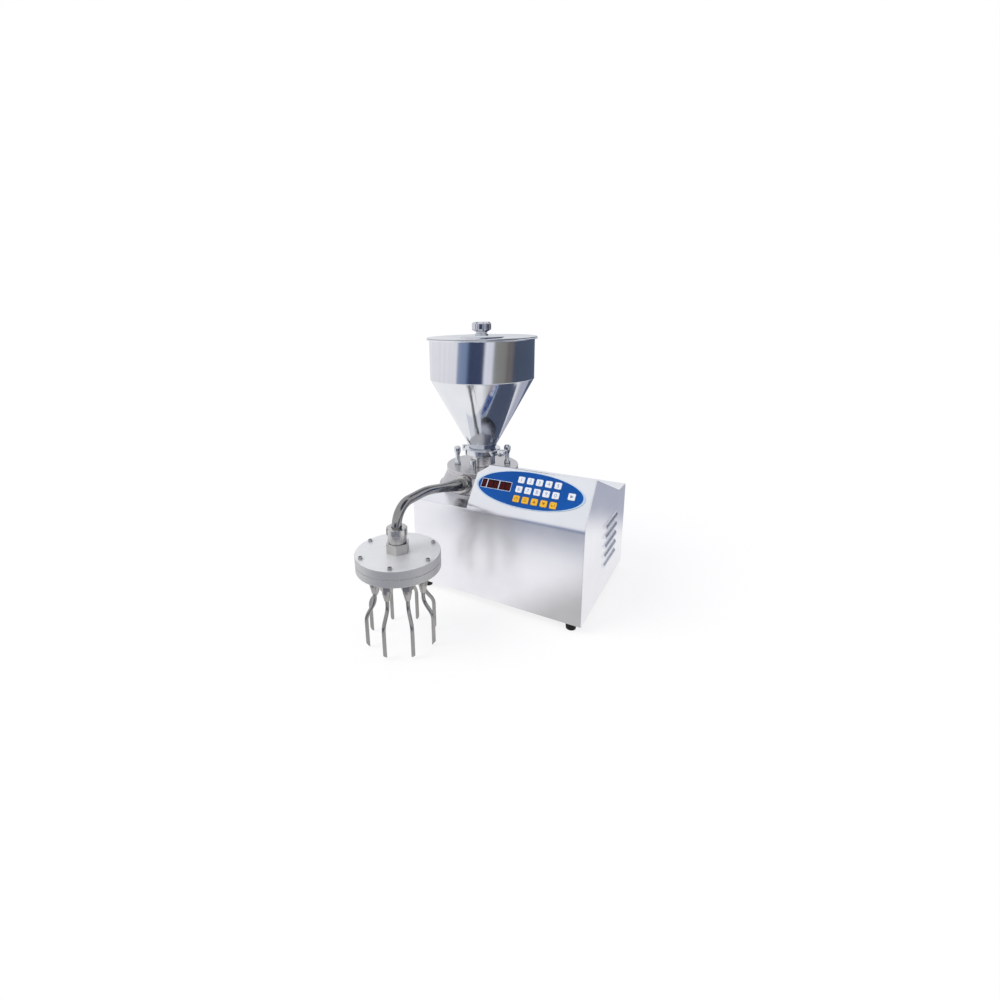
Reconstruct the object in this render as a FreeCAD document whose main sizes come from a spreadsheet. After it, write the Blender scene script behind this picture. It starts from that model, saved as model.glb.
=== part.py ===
"""Bench-top filling machine: hopper, lobe pump, keypad console and an eight-nozzle filling head.

Millimetres, +Z up, long side of the housing along X, keypad side and filling head towards -Y.
The origin lies on the bench, under the middle of the whole machine.
"""

import FreeCAD, Part
import math
import os
import re
import Sketcher

Vector = FreeCAD.Vector
doc = FreeCAD.newDocument("filling_machine")
sheet = doc.addObject("Spreadsheet::Sheet", "dims")

# Driving sizes. Each is set once here, and every piece reads it from the sheet.
SIZES = [
    # Place of the machine in its own frame, and its feet.
    ("housing_x", -196.5, "left side of the housing"),
    ("housing_y", -32.0, "keypad side of the housing"),
    ("foot_height", 18.0, "bench to housing"),
    ("foot_radius", 12.0, "rubber foot"),
    ("foot_taper", 1.5, "foot drawn in at the bench"),
    ("foot_inset_x", 26.0, "foot centre from the housing's end"),
    ("foot_inset_y", 16.0, "foot centre from the housing's side"),
    ("foot_screw_radius", 3.0, "screw hole through foot and base"),
    ("foot_screw_seat", 8.1, "narrow part of the screw hole, from the housing"),
    ("foot_counterbore_radius", 6.0, "wide part of the screw hole"),
    ("fit_gap", 0.3, "air between pieces that move or slide in"),
    ("shaft_gap", 0.05, "running clearance of a shaft in its bush"),
    # Folded sheet housing with the keypad console.
    ("sheet_wall", 2.0, "sheet thickness"),
    ("fold_radius", 4.0, "outside radius of a fold"),
    ("housing_length", 418.0, "housing without its end cover"),
    ("housing_depth", 335.0, "housing, keypad side to rear"),
    ("housing_height", 214.0, "housing without feet"),
    ("console_start", 150.0, "left end of the console"),
    ("console_lip", 6.2, "console's front corner above the housing top"),
    ("console_ridge_inset", 68.8, "ridge from the keypad side"),
    ("console_ridge_rise", 88.7, "ridge above the housing top"),
    ("console_valley_inset", 278.3, "foot of the console's rear slope"),
    ("console_bend_radius", 30.0, "large bend under the keypad"),
    ("console_ridge_radius", 5.0, "bend at the ridge"),
    ("console_pump_space", 14.0, "air between pump foot and console"),
    ("end_lip", 18.0, "flange left round the open end"),
    ("end_cover_wall", 2.0, "louvred end cover"),
    ("base_wall", 3.0, "base plate"),
    ("vent_x", 160.0, "first air slot from the housing's left side"),
    ("vent_width", 5.0, "air slots in the base plate"),
    ("vent_length", 70.0, "air slots in the base plate"),
    ("vent_pitch", 12.0, "air slots in the base plate"),
    ("vents", 7.0, "air slots in the base plate"),
    # Louvres pressed in the end cover.
    ("louvre_length", 98.0, "along Y"),
    ("louvre_height", 12.0, "along Z"),
    ("louvre_depth", 5.0, "how far a louvre stands out"),
    ("louvre_lip", 4.0, "how far it stands out at its mouth"),
    ("louvre_mouth", 5.4, "height of its mouth"),
    ("louvre_wall", 1.2, "pressed sheet"),
    ("louvre_pitch", 24.0, "row to row"),
    ("louvre_low", 65.0, "lowest row above the housing's edge"),
    ("louvre_centre_y", 201.0, "middle of the rows from the keypad side"),
    ("louvre_rows", 5.0, "rows"),
    # Oval keypad on the slope, and the keys.
    ("fascia_centre_x", 281.5, "middle of the oval from the housing's left side"),
    ("fascia_centre_up", 60.3, "middle of the oval, up the slope from its lower corner"),
    ("fascia_half_length", 125.0, "oval, half its length"),
    ("fascia_half_height", 42.5, "oval, half its height"),
    ("fascia_thickness", 1.5, "oval plate"),
    ("key_size", 15.0, "square key"),
    ("key_corner", 2.5, "key's corner radius"),
    ("key_proud", 1.4, "key above the oval plate"),
    ("key_soft_edge", 0.6, "rounding round the key's top"),
    ("key_skirt", 1.1, "skirt that keeps the key in"),
    ("key_skirt_thickness", 1.2, "skirt along the key's travel"),
    ("key_travel", 1.0, "how far a key is pressed"),
    ("key_pitch_x", 20.8, "column to column"),
    ("key_pitch_y", 22.2, "row to row"),
    ("keys_x", 20.8, "middle column from the oval's middle"),
    ("keys_y", -1.2, "middle row from the oval's middle"),
    ("start_key_x", 96.0, "single key from the oval's middle"),
    ("start_key_y", 2.0, "single key from the oval's middle"),
    ("display_x", -76.5, "middle of the display from the oval's middle"),
    ("display_y", 0.8, "middle of the display from the oval's middle"),
    ("display_height", 20.0, "display openings"),
    ("display_narrow", 12.0, "one-digit opening"),
    ("display_wide", 27.5, "two-digit openings"),
    ("display_bar", 2.0, "bar between openings"),
    ("window_margin", 3.0, "housing cut-out beyond what it clears"),
    ("lens_thickness", 1.6, "red lens behind the oval plate"),
    ("board_depth", 9.0, "keypad board below the slope"),
    ("board_thickness", 1.6, "circuit boards"),
    ("board_half_height", 29.0, "keypad board, half its height"),
    ("board_corner", 16.0, "corner cut off the board to clear the pump recess"),
    ("plunger_radius", 1.75, "switch plunger under a key"),
    ("board_post_radius", 3.0, "posts that carry a board"),
    # Rotor pump under the hopper.
    ("pump_x", 101.0, "pump axis from the housing's left side"),
    ("pump_y", 167.0, "pump axis from the keypad side"),
    ("casing_foot_radius", 110.0, "pump foot on the housing"),
    ("casing_foot_height", 5.0, "rim of the pump foot"),
    ("casing_foot_step", 4.0, "step above the rim"),
    ("casing_radius", 90.0, "pump casing and cover"),
    ("casing_height", 46.0, "casing above the housing"),
    ("casing_cone_top", 38.0, "where the flare meets the cylinder"),
    ("casing_spigot_radius", 58.0, "spigot through the housing top"),
    ("casing_floor", 12.0, "floor under the rotors"),
    ("rotor_spacing", 48.0, "shaft to shaft"),
    ("rotor_lobes", 3.0, "lobes on each rotor"),
    ("rotor_relief", 0.18, "rotor surface inside the exact rolling curve"),
    ("chamber_gap", 0.3, "rotor tips to the chamber wall"),
    ("shaft_radius", 8.0, "rotor shafts"),
    ("shaft_key_depth", 34.0, "shaft inside a rotor"),
    ("seal_radius", 13.0, "shaft seal"),
    ("seal_height", 6.0, "shaft seal"),
    ("cover_seal_gap", 2.2, "chamber wall to seal groove"),
    ("cover_seal_width", 3.0, "seal groove"),
    ("cover_seal_depth", 2.4, "seal groove"),
    ("cover_thickness", 8.0, "pump cover"),
    ("cover_edge_radius", 1.5, "rounding of its edge"),
    ("inlet_port_radius", 11.0, "port in the pump cover"),
    ("inlet_port_offset", 17.0, "port from the pump axis, away from the outlet"),
    ("stud_circle", 63.0, "cover studs from the pump axis"),
    ("stud_angle", 33.0, "direction of the right stud"),
    ("stud_radius", 4.0, "M8 stud"),
    ("stud_depth", 18.0, "stud in the casing"),
    ("stud_above", 26.0, "stud above the cover"),
    ("outlet_bore_end", 29.0, "inner end of the outlet bore from the pump axis"),
    ("hand_knob_height", 47.0, "quick-release knob"),
    ("hand_knob_radius", 8.6, "bulb of the knob"),
    ("hand_knob_waist", 5.4, "waist of the knob"),
    ("hand_knob_base", 8.0, "foot of the knob"),
    ("hand_knob_foot", 5.6, "straight foot of the knob"),
    ("hand_knob_waist_low", 10.3, "lower end of the waist"),
    ("hand_knob_waist_top", 24.4, "upper end of the waist"),
    ("hand_knob_bulb_low", 33.8, "lower edge of the bulb"),
    ("hand_knob_bulb_top", 42.3, "upper edge of the bulb"),
    ("hand_knob_tip", 6.0, "radius of its flat top"),
    ("hand_knob_shoulder", 2.8, "rounding of the bulb"),
    ("locating_pin_offset", 50.0, "locating pin from the pump axis"),
    ("locating_pin_radius", 8.0, "head of the pin"),
    ("locating_pin_height", 22.0, "head of the pin"),
    ("locating_pin_shank", 5.0, "shank radius"),
    ("locating_pin_depth", 10.0, "shank in the casing"),
    ("locating_pin_edge", 1.0, "bevel on the head of the pin"),
    # Gear case and drive under the pump.
    ("gear_module", 3.0, "tooth module"),
    ("gear_backlash", 0.65, "play between teeth"),
    ("gear_width", 16.0, "timing gears"),
    ("gear_case_height", 42.0, "case under the casing's spigot"),
    ("gear_case_floor", 8.0, "case floor"),
    ("gear_case_side", 6.0, "case wall"),
    ("gear_drop", 9.0, "gears' upper faces under the casing's underside"),
    ("bush_radius", 12.0, "bronze bush"),
    ("bush_flange", 2.0, "flange of a bush"),
    ("drive_shaft_reach", 96.0, "drive shaft below the gear case"),
    ("gearbox_size", 84.0, "worm gearbox, square"),
    ("gearbox_corner", 7.0, "rounding of its corners"),
    ("gearbox_height", 64.0, "worm gearbox"),
    ("gearbox_boss_radius", 32.0, "round boss on the gearbox"),
    ("gearbox_boss_height", 8.0, "boss above the gearbox"),
    ("gearbox_drop", 36.0, "gear case to the gearbox boss"),
    ("motor_radius", 44.0, "motor body"),
    ("motor_length", 150.0, "motor body"),
    ("motor_flange_radius", 52.0, "motor flange"),
    ("motor_flange", 10.0, "motor flange"),
    ("motor_groove", 117.0, "groove before the rear shield, from the flange"),
    ("motor_groove_width", 4.5, "groove before the rear shield"),
    ("motor_groove_depth", 2.0, "groove before the rear shield"),
    ("terminal_box_place", 60.0, "middle of the terminal box from the flange"),
    ("terminal_box_length", 44.0, "terminal box across the motor"),
    ("terminal_box_width", 61.6, "terminal box along the motor"),
    ("terminal_box_top", 59.4, "terminal box from the motor's axis"),
    ("bracket_wall", 4.0, "bent bracket under the gearbox"),
    ("bracket_flange", 18.0, "feet of the bracket"),
    # Outlet, pipe and filling head.
    ("outlet_reach", 106.0, "pump axis to the outlet joint"),
    ("outlet_rise", 29.5, "outlet joint above the housing top"),
    ("outlet_tilt", 12.5, "outlet rises by this angle"),
    ("outlet_bore", 12.0, "radius of the outlet bore"),
    ("outlet_spigot_radius", 17.0, "threaded end of the casing"),
    ("outlet_spot_depth", 12.0, "flat from the joint"),
    ("outlet_spigot_length", 67.0, "outlet neck, joint to its inner end"),
    ("outlet_spot_radius", 22.3, "flat cut round the outlet"),
    ("union_nut_radius", 21.5, "ring nut at the pump"),
    ("union_nut_back", 11.0, "nut behind the joint"),
    ("union_nut_front", 9.0, "nut in front of the joint"),
    ("nut_edge", 1.2, "bevel on the ring nuts"),
    ("nut_slot_depth", 2.0, "spanner slots in the ring nuts"),
    ("nut_slot_width", 5.0, "spanner slots in the ring nuts"),
    ("union_collar", 5.0, "collar on the pipe"),
    ("union_collar_radius", 19.0, "collar on the pipe"),
    ("pipe_large_radius", 14.5, "pipe at the pump"),
    ("pipe_small_radius", 10.0, "pipe at the filling head"),
    ("pipe_wall", 1.5, "pipe wall"),
    ("pipe_straight", 14.0, "collar and straight stretch before the reducer"),
    ("pipe_reducer", 84.0, "conical reducer"),
    ("pipe_rise_run", 28.0, "straight run after the reducer"),
    ("pipe_crest_radius", 220.0, "gentle bend at the crest"),
    ("pipe_level_run", 38.0, "level run"),
    ("pipe_bend_radius", 44.0, "bend down to the filling head"),
    ("pipe_drop", 10.0, "straight end above the collar"),
    ("head_collar_radius", 14.0, "collar on the pipe's lower end"),
    ("head_collar", 5.0, "collar on the pipe's lower end"),
    ("head_nut_height", 31.0, "union nut of the filling head"),
    ("head_nut_radius", 18.5, "lower part of the nut"),
    ("head_nut_rim_radius", 21.0, "slotted rim of the nut"),
    ("head_nut_rim", 13.0, "slotted rim of the nut"),
    ("head_nut_slots", 6.0, "slots in the rim"),
    ("adapter_hex", 42.0, "hexagon across flats"),
    ("adapter_height", 20.0, "hexagon"),
    ("adapter_thread_radius", 15.5, "threaded neck above the hexagon"),
    ("adapter_neck", 14.0, "threaded neck above the hexagon"),
    ("adapter_spigot_radius", 15.0, "spigot in the top plate"),
    ("head_radius", 86.0, "round plates"),
    ("head_top_plate", 17.0, "top plate"),
    ("head_bottom_plate", 17.0, "bottom plate"),
    ("head_chamber_radius", 62.0, "hollow between the plates"),
    ("head_chamber_height", 7.0, "hollow between the plates"),
    ("head_edge", 1.2, "bevel round the plates"),
    ("head_screws", 6.0, "screws"),
    ("head_screw_circle", 76.5, "screws from the head's axis"),
    ("head_screw_angle", -64.0, "direction of the first screw"),
    ("head_screw_radius", 2.5, "M5 screw"),
    ("head_screw_head", 4.3, "screw head"),
    ("head_screw_head_height", 4.5, "screw head"),
    ("head_screw_grip", 13.0, "screw in the bottom plate"),
    ("nozzles", 8.0, "nozzles"),
    ("nozzle_angle", -35.5, "direction of the first nozzle"),
    ("nozzle_circle", 52.5, "nozzles from the head's axis"),
    ("nozzle_radius", 4.0, "nozzle tube"),
    ("nozzle_wall", 1.0, "nozzle tube"),
    ("nozzle_spread", 20.0, "how far a tube steps outwards"),
    ("nozzle_slope", 35.0, "slope of the step from the vertical"),
    ("nozzle_bend_radius", 16.0, "tube bends"),
    ("nozzle_upper_run", 62.0, "bottom plate to the first bend"),
    ("nozzle_length", 165.0, "bottom plate to the tip"),
    ("nozzle_bevel", 38.0, "cut of the tip from the vertical"),
    ("fitting_ring_radius", 12.5, "ring against the plate"),
    ("fitting_ring", 7.0, "ring against the plate"),
    ("fitting_hex", 22.0, "hexagon across flats"),
    ("fitting_hex_height", 16.0, "hexagon"),
    ("fitting_collar_radius", 9.2, "collar under the hexagon"),
    ("fitting_collar", 7.0, "collar under the hexagon"),
    ("fitting_cone", 17.0, "cone under the collar"),
    ("fitting_tip_radius", 5.6, "small end of the cone"),
    # Hopper and its clamp joint on the pump cover.
    ("neck_radius", 31.75, "neck tube"),
    ("neck_wall", 2.0, "neck tube"),
    ("clamp_rise", 89.0, "middle of the clamp above the housing top"),
    ("ferrule_radius", 38.75, "flange of the clamp joint"),
    ("ferrule_edge", 3.4, "clamp's middle to the flange's outer edge"),
    ("ferrule_root", 6.0, "clamp's middle to the flange's root"),
    ("gasket_half", 1.0, "half the gasket"),
    ("clamp_radius", 45.0, "clamp ring"),
    ("clamp_half_height", 7.5, "clamp ring, half its height"),
    ("clamp_split", 1.5, "half the gap between the clamp's halves"),
    ("clamp_lug_reach", 65.0, "end of the bolt lugs"),
    ("clamp_lug", 8.0, "lug from the clamp's middle plane"),
    ("clamp_lug_half_height", 6.0, "lug, half its height"),
    ("clamp_lug_corner", 3.0, "rounding of the lug"),
    ("clamp_bolt_offset", 58.0, "bolt from the neck's axis"),
    ("clamp_bolt_radius", 3.0, "bolt"),
    ("clamp_hinge_offset", 52.0, "hinge pin from the neck's axis"),
    ("clamp_knuckle_radius", 6.0, "hinge knuckle"),
    ("hinge_pin_radius", 2.0, "hinge pin"),
    ("wing_nut_radius", 5.5, "hub of the wing nut"),
    ("wing_nut_length", 11.0, "hub of the wing nut"),
    ("wing_root", 2.2, "lower corner of a wing, along the nut"),
    ("wing_root_top", 8.8, "upper corner of a wing, along the nut"),
    ("wing_low", 8.25, "outer edge of a wing, lower end"),
    ("wing_high", 13.75, "outer edge of a wing, upper end"),
    ("wing_tip", 14.85, "tip of a wing"),
    ("wing_span", 11.5, "wing from the bolt"),
    ("wing_thickness", 3.0, "wing"),
    ("clamp_edge_radius", 1.5, "rounding of the clamp's outer edges"),
    ("clamp_bolt_end", 24.0, "end of the bolt from the clamp's middle plane"),
    ("clamp_bore_gap", 1.5, "neck to the clamp's edge"),
    ("clamp_bolt_head", 5.0, "head of the bolt"),
    ("hopper_wall", 2.0, "hopper sheet"),
    ("hopper_radius", 126.0, "hopper's cylinder"),
    ("hopper_cone_foot", 97.0, "foot of the cone above the housing top"),
    ("hopper_cone_top", 272.0, "top of the cone above the housing top"),
    ("hopper_rim_height", 368.0, "rim above the housing top"),
    ("hopper_rim_radius", 133.0, "rolled rim"),
    ("hopper_rim", 3.0, "thickness of the rim"),
    ("hopper_rim_roll", 1.2, "rounding of the rim"),
    ("lid_wall", 2.0, "lid sheet"),
    ("lid_radius", 131.0, "lid"),
    ("lid_skirt", 9.0, "skirt inside the hopper"),
    ("lid_skirt_gap", 1.0, "skirt to the hopper's wall"),
    ("lid_crown_radius", 50.0, "raised middle"),
    ("lid_crown", 4.0, "raised middle"),
    ("lid_knob_radius", 23.0, "lid knob"),
    ("lid_knob_waist", 13.5, "lid knob"),
    ("lid_knob_foot", 16.0, "lid knob"),
    ("lid_knob_height", 30.0, "lid knob"),
    ("lid_knob_base", 2.4, "straight foot of the knob"),
    ("lid_knob_waist_low", 7.2, "lower end of the waist"),
    ("lid_knob_waist_top", 10.2, "upper end of the waist"),
    ("lid_knob_grip_low", 15.0, "lower edge of the grip"),
    ("lid_knob_grip_top", 26.4, "upper edge of the grip"),
    ("lid_knob_tip", 19.5, "radius of its flat top"),
    ("lid_knob_flute_offset", 2.25, "flute's centre outside the grip"),
    ("lid_knob_flute_length", 21.0, "flutes, down from the top"),
    ("lid_knob_flutes", 8.0, "flutes round the knob"),
    ("lid_knob_flute_radius", 5.0, "flutes round the knob"),
    # Electrical pieces inside and at the back.
    ("inlet_x", 338.0, "power inlet from the housing's left side"),
    ("inlet_z", 62.0, "power inlet above the housing's edge"),
    ("inlet_flange_x", 31.0, "flange"),
    ("inlet_flange_z", 62.0, "flange"),
    ("inlet_flange", 3.0, "flange outside the housing"),
    ("inlet_body_x", 27.0, "body through the housing"),
    ("inlet_body_z", 56.0, "body through the housing"),
    ("inlet_depth", 26.0, "body inside the housing"),
    ("socket_x", 24.5, "socket"),
    ("socket_z", 17.0, "socket"),
    ("socket_slope", 5.7, "sloping corners of the socket"),
    ("socket_depth", 18.0, "socket"),
    ("socket_drop", 14.0, "socket below the module's middle"),
    ("pin_length", 12.0, "contact pins"),
    ("pin_x", 2.0, "contact pins"),
    ("pin_z", 4.0, "contact pins"),
    ("pin_spacing", 7.0, "contact pins"),
    ("rocker_x", 14.0, "rocker"),
    ("rocker_z", 21.0, "rocker"),
    ("rocker_rise", 14.0, "rocker above the module's middle"),
    ("rocker_tilt", 10.0, "rocker's angle each way"),
    ("rocker_sink", 1.0, "rocker's pivot under the flange's face"),
    ("rocker_face", 3.0, "rocker's tips in front of its pivot"),
    ("rocker_back", 4.0, "rocker behind its pivot"),
    ("rocker_chamfer", 0.45, "rocker's tips cut back, so that they clear the frame"),
    ("pivot_radius", 1.5, "rocker's pivot"),
    ("pivot_reach", 1.5, "pivot beyond the rocker's side"),
    ("supply_end_gap", 18.0, "power supply from the housing's open end"),
    ("supply_y", 15.0, "power supply from the keypad side"),
    ("supply_length", 150.0, "power supply"),
    ("supply_width", 90.0, "power supply"),
    ("supply_height", 40.0, "power supply"),
    ("supply_sheet", 1.5, "its case"),
    ("supply_air_x", 30.0, "first air slot from its left end"),
    ("supply_air_length", 63.0, "air slots in its case"),
    ("control_end_gap", 10.0, "control board from the housing's open end"),
    ("control_y", 190.0, "control board from the keypad side"),
    ("control_length", 120.0, "control board"),
    ("control_width", 100.0, "control board"),
    ("control_post", 10.0, "posts under the control board"),
    ("control_chip", 5.0, "low components"),
    ("control_chip_size", 24.0, "square chip in the middle"),
    ("control_strip_length", 84.0, "terminal strip"),
    ("control_strip_width", 12.0, "terminal strip"),
    ("control_relay_x", 26.4, "relay from the board's left end"),
    ("control_relay_length", 24.0, "relay"),
    ("control_relay_width", 25.0, "relay"),
    ("control_rear_row", 75.0, "relay and rear capacitor from the front edge"),
    ("control_front_row", 45.0, "front capacitor from the front edge"),
    ("control_capacitor_x", 90.0, "capacitors from the board's left end"),
    ("control_capacitor_radius", 9.0, "capacitor"),
    ("control_capacitor_height", 28.0, "tall components"),
]

for line, (alias, number, note) in enumerate(SIZES, start=1):
    sheet.set(f"A{line}", note)
    sheet.set(f"B{line}", str(number))
    sheet.setAlias(f"B{line}", alias)
doc.recompute()

ALIASES = re.compile(r"\b(" + "|".join(alias for alias, number, note in SIZES) + r")\b")
OUTPUT = []


def bound(formula):
    """Give a formula in the names above the form that reads them from the sheet."""
    return ALIASES.sub(r"dims.\1", str(formula))


def value(formula):
    """Number that a formula stands for."""
    number = sheet.evalExpression(bound(formula))
    return float(getattr(number, "Value", number))


def bind(thing, **formulas):
    """Bind properties of an object to formulas; __ in a name stands for a dot."""
    for name, formula in formulas.items():
        thing.setExpression(name.replace("__", "."), bound(formula))


def place(thing, x=0, y=0, z=0, about=None, angle=0):
    """Put a piece at x, y, z, turned by angle about the axis given."""
    if about:
        thing.Placement = FreeCAD.Placement(Vector(0, 0, 0), FreeCAD.Rotation(Vector(*about), 1.0))
        thing.setExpression("Placement.Rotation.Angle", bound(angle))
    bind(thing, Placement__Base__x=x, Placement__Base__y=y, Placement__Base__z=z)


def keep(thing, label):
    """Hand a finished piece over under the name of its node."""
    thing.Label = label
    OUTPUT.append(thing)
    return thing


def body(name):
    """Start a body for one piece."""
    return doc.addObject("PartDesign::Body", name)


def origin_part(owner, role):
    """Plane or axis of a body's own origin."""
    return next(feature for feature in owner.Origin.OriginFeatures if feature.Role == role)


def sketch(owner, name, role="XY_Plane", x=0, y=0, z=0, about=None, angle=0):
    """Sketch on one of the body's planes, moved and turned within it."""
    drawing = owner.newObject("Sketcher::SketchObject", name)
    drawing.AttachmentSupport = (origin_part(owner, role), [""])
    drawing.MapMode = "FlatFace"
    if about:
        turn = FreeCAD.Rotation(Vector(*about), 1.0)
        drawing.AttachmentOffset = FreeCAD.Placement(Vector(0, 0, 0), turn)
        drawing.setExpression("AttachmentOffset.Rotation.Angle", bound(angle))
    for axis, formula in (("x", x), ("y", y), ("z", z)):
        if str(formula) != "0":
            drawing.setExpression(f"AttachmentOffset.Base.{axis}", bound(formula))
    return drawing


def hold(drawing, kind, *where, formula=None):
    """Add a constraint to a sketch, and bind its size where it has one."""
    if formula is None:
        drawing.addConstraint(Sketcher.Constraint(kind, *where))
        return
    scale = math.pi / 180 if kind == "Angle" else 1.0
    number = drawing.addConstraint(Sketcher.Constraint(kind, *where, value(formula) * scale))
    name = f"c{number}"
    drawing.renameConstraint(number, name)
    text = bound(formula)
    drawing.setExpression(f"Constraints.{name}", f"({text}) * 1 deg" if kind == "Angle" else text)


def outline(drawing, points):
    """Closed polygon whose corners are pairs of formulas."""
    spots = [Vector(value(x), value(y), 0) for x, y in points]
    first = drawing.GeometryCount
    count = len(points)
    for index, spot in enumerate(spots):
        drawing.addGeometry(Part.LineSegment(spot, spots[(index + 1) % count]), False)
    for index in range(count):
        hold(drawing, "Coincident", first + index, 2, first + (index + 1) % count, 1)
    for index, (x, y) in enumerate(points):
        hold(drawing, "DistanceX", -1, 1, first + index, 1, formula=x)
        hold(drawing, "DistanceY", -1, 1, first + index, 1, formula=y)
    return drawing


def rectangle(drawing, x, y, width, height):
    """Rectangle given by its middle and its sides."""
    left, right = f"({x}) - ({width}) / 2", f"({x}) + ({width}) / 2"
    low, high = f"({y}) - ({height}) / 2", f"({y}) + ({height}) / 2"
    return outline(drawing, [(left, low), (right, low), (right, high), (left, high)])


def circle(drawing, x, y, radius):
    """Circle given by its centre and radius."""
    centre = Vector(value(x), value(y), 0)
    index = drawing.addGeometry(Part.Circle(centre, Vector(0, 0, 1), value(radius)), False)
    hold(drawing, "Radius", index, formula=radius)
    hold(drawing, "DistanceX", -1, 1, index, 3, formula=x)
    hold(drawing, "DistanceY", -1, 1, index, 3, formula=y)
    return drawing


def racetrack(drawing, half_length, radius):
    """Two half circles half_length either side of the middle, joined by straight sides."""
    a, r = value(half_length), value(radius)
    first = drawing.GeometryCount
    drawing.addGeometry(Part.LineSegment(Vector(-a, -r, 0), Vector(a, -r, 0)), False)
    right = Part.Circle(Vector(a, 0, 0), Vector(0, 0, 1), r)
    drawing.addGeometry(Part.ArcOfCircle(right, -math.pi / 2, math.pi / 2), False)
    drawing.addGeometry(Part.LineSegment(Vector(a, r, 0), Vector(-a, r, 0)), False)
    left = Part.Circle(Vector(-a, 0, 0), Vector(0, 0, 1), r)
    drawing.addGeometry(Part.ArcOfCircle(left, math.pi / 2, 3 * math.pi / 2), False)
    for index in range(4):
        hold(drawing, "Tangent", first + index, 2, first + (index + 1) % 4, 1)
    hold(drawing, "Radius", first + 1, formula=radius)
    hold(drawing, "DistanceX", -1, 1, first + 1, 3, formula=half_length)
    hold(drawing, "DistanceX", -1, 1, first + 3, 3, formula=f"-({half_length})")
    hold(drawing, "DistanceY", -1, 1, first + 1, 3, formula="0")
    hold(drawing, "DistanceY", -1, 1, first + 3, 3, formula="0")
    return drawing


def hexagon(drawing, x, y, across):
    """Regular hexagon across flats, with two corners along the sketch's X."""
    corner = f"({across}) / sqrt(3)"
    return outline(drawing, [
        (f"({x}) + {corner} * {math.cos(math.radians(60 * k)):.6f}",
         f"({y}) + {corner} * {math.sin(math.radians(60 * k)):.6f}") for k in range(6)])


def feature(owner, kind, drawing, **formulas):
    """Add a feature made from a sketch and check that it changed the solid as it should."""
    before = owner.Tip.Shape.Volume if owner.Tip else 0.0
    made = owner.newObject(f"PartDesign::{kind}", f"{drawing.Name}_{kind.lower()}")
    made.Profile = drawing
    bind(made, **formulas)
    return made, before


def settle(made, before, grows):
    """Recompute a feature and stop where it added or cut nothing."""
    doc.recompute()
    change = made.Shape.Volume - before
    if (change <= 0.0) if grows else (change >= 0.0):
        raise ValueError(f"{made.Name} changed the solid by {change:.3f}")
    return made


def pad(owner, drawing, length, back=False, both=False):
    """Extrude a sketch, along its normal unless back is set, or both ways."""
    made, before = feature(owner, "Pad", drawing, Length=length)
    made.Reversed = back
    made.Midplane = both
    return settle(made, before, True)


def pocket(owner, drawing, length, back=False, both=False):
    """Cut a sketch's shape, against its normal unless back is set, or both ways."""
    made, before = feature(owner, "Pocket", drawing, Length=length)
    made.Reversed = back
    made.Midplane = both
    return settle(made, before, False)


def turn(owner, drawing, cut=False):
    """Revolve a sketch once round its own vertical axis."""
    made, before = feature(owner, "Groove" if cut else "Revolution", drawing)
    made.ReferenceAxis = (drawing, ["V_Axis"])
    made.Angle = 360
    return settle(made, before, not cut)


def turned(name, points):
    """Body revolved round its Z axis from corners (radius, height)."""
    piece = body(name)
    turn(piece, outline(sketch(piece, f"{name}_section", "XZ_Plane"), points))
    return piece


def round_pattern(owner, originals, count, name, angle=360):
    """Repeat features round the body's Z axis."""
    pattern = owner.newObject("PartDesign::PolarPattern", name)
    pattern.Originals = originals
    pattern.Axis = (origin_part(owner, "Z_Axis"), [""])
    pattern.Angle = angle
    bind(pattern, Occurrences=count)
    owner.Tip = pattern
    doc.recompute()
    return pattern


def row_pattern(owner, originals, name, axis, pitch, count, axis_2=None, pitch_2=0, count_2=1):
    """Repeat features in a row, or in rows, along the body's axes."""
    pattern = owner.newObject("PartDesign::LinearPattern", name)
    pattern.Originals = originals
    pattern.Direction = (origin_part(owner, axis), [""])
    bind(pattern, Length=f"({pitch}) * ({count} - 1)", Occurrences=count)
    if axis_2:
        pattern.Direction2 = (origin_part(owner, axis_2), [""])
        bind(pattern, Length2=f"({pitch_2}) * ({count_2} - 1)", Occurrences2=count_2)
    owner.Tip = pattern
    doc.recompute()
    return pattern


def soften(owner, name, radius, chosen, kind="Fillet"):
    """Round or bevel those edges of the body so far for which chosen is true."""
    base = owner.Tip
    names = [f"Edge{n}" for n, edge in enumerate(base.Shape.Edges, start=1) if chosen(edge)]
    if not names:
        raise ValueError(f"{name} finds no edge")
    made = owner.newObject(f"PartDesign::{kind}", name)
    made.Base = (base, names)
    bind(made, **{"Radius" if kind == "Fillet" else "Size": radius})
    doc.recompute()
    return made


def near(a, b):
    """Whether two numbers are the same size."""
    return abs(a - b) < 1e-3


def runs_along(edge, axis):
    """Whether a straight edge is parallel to an axis."""
    if edge.Curve.TypeId != "Part::GeomLine":
        return False
    return abs(abs(edge.tangentAt(edge.FirstParameter).dot(Vector(*axis))) - 1) < 1e-6


def ring_at(edge, radius, z):
    """Whether an edge is a circle round Z with this radius and height."""
    if edge.Curve.TypeId != "Part::GeomCircle":
        return False
    return near(edge.Curve.Radius, value(radius)) and near(edge.Curve.Center.z, value(z))


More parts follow.
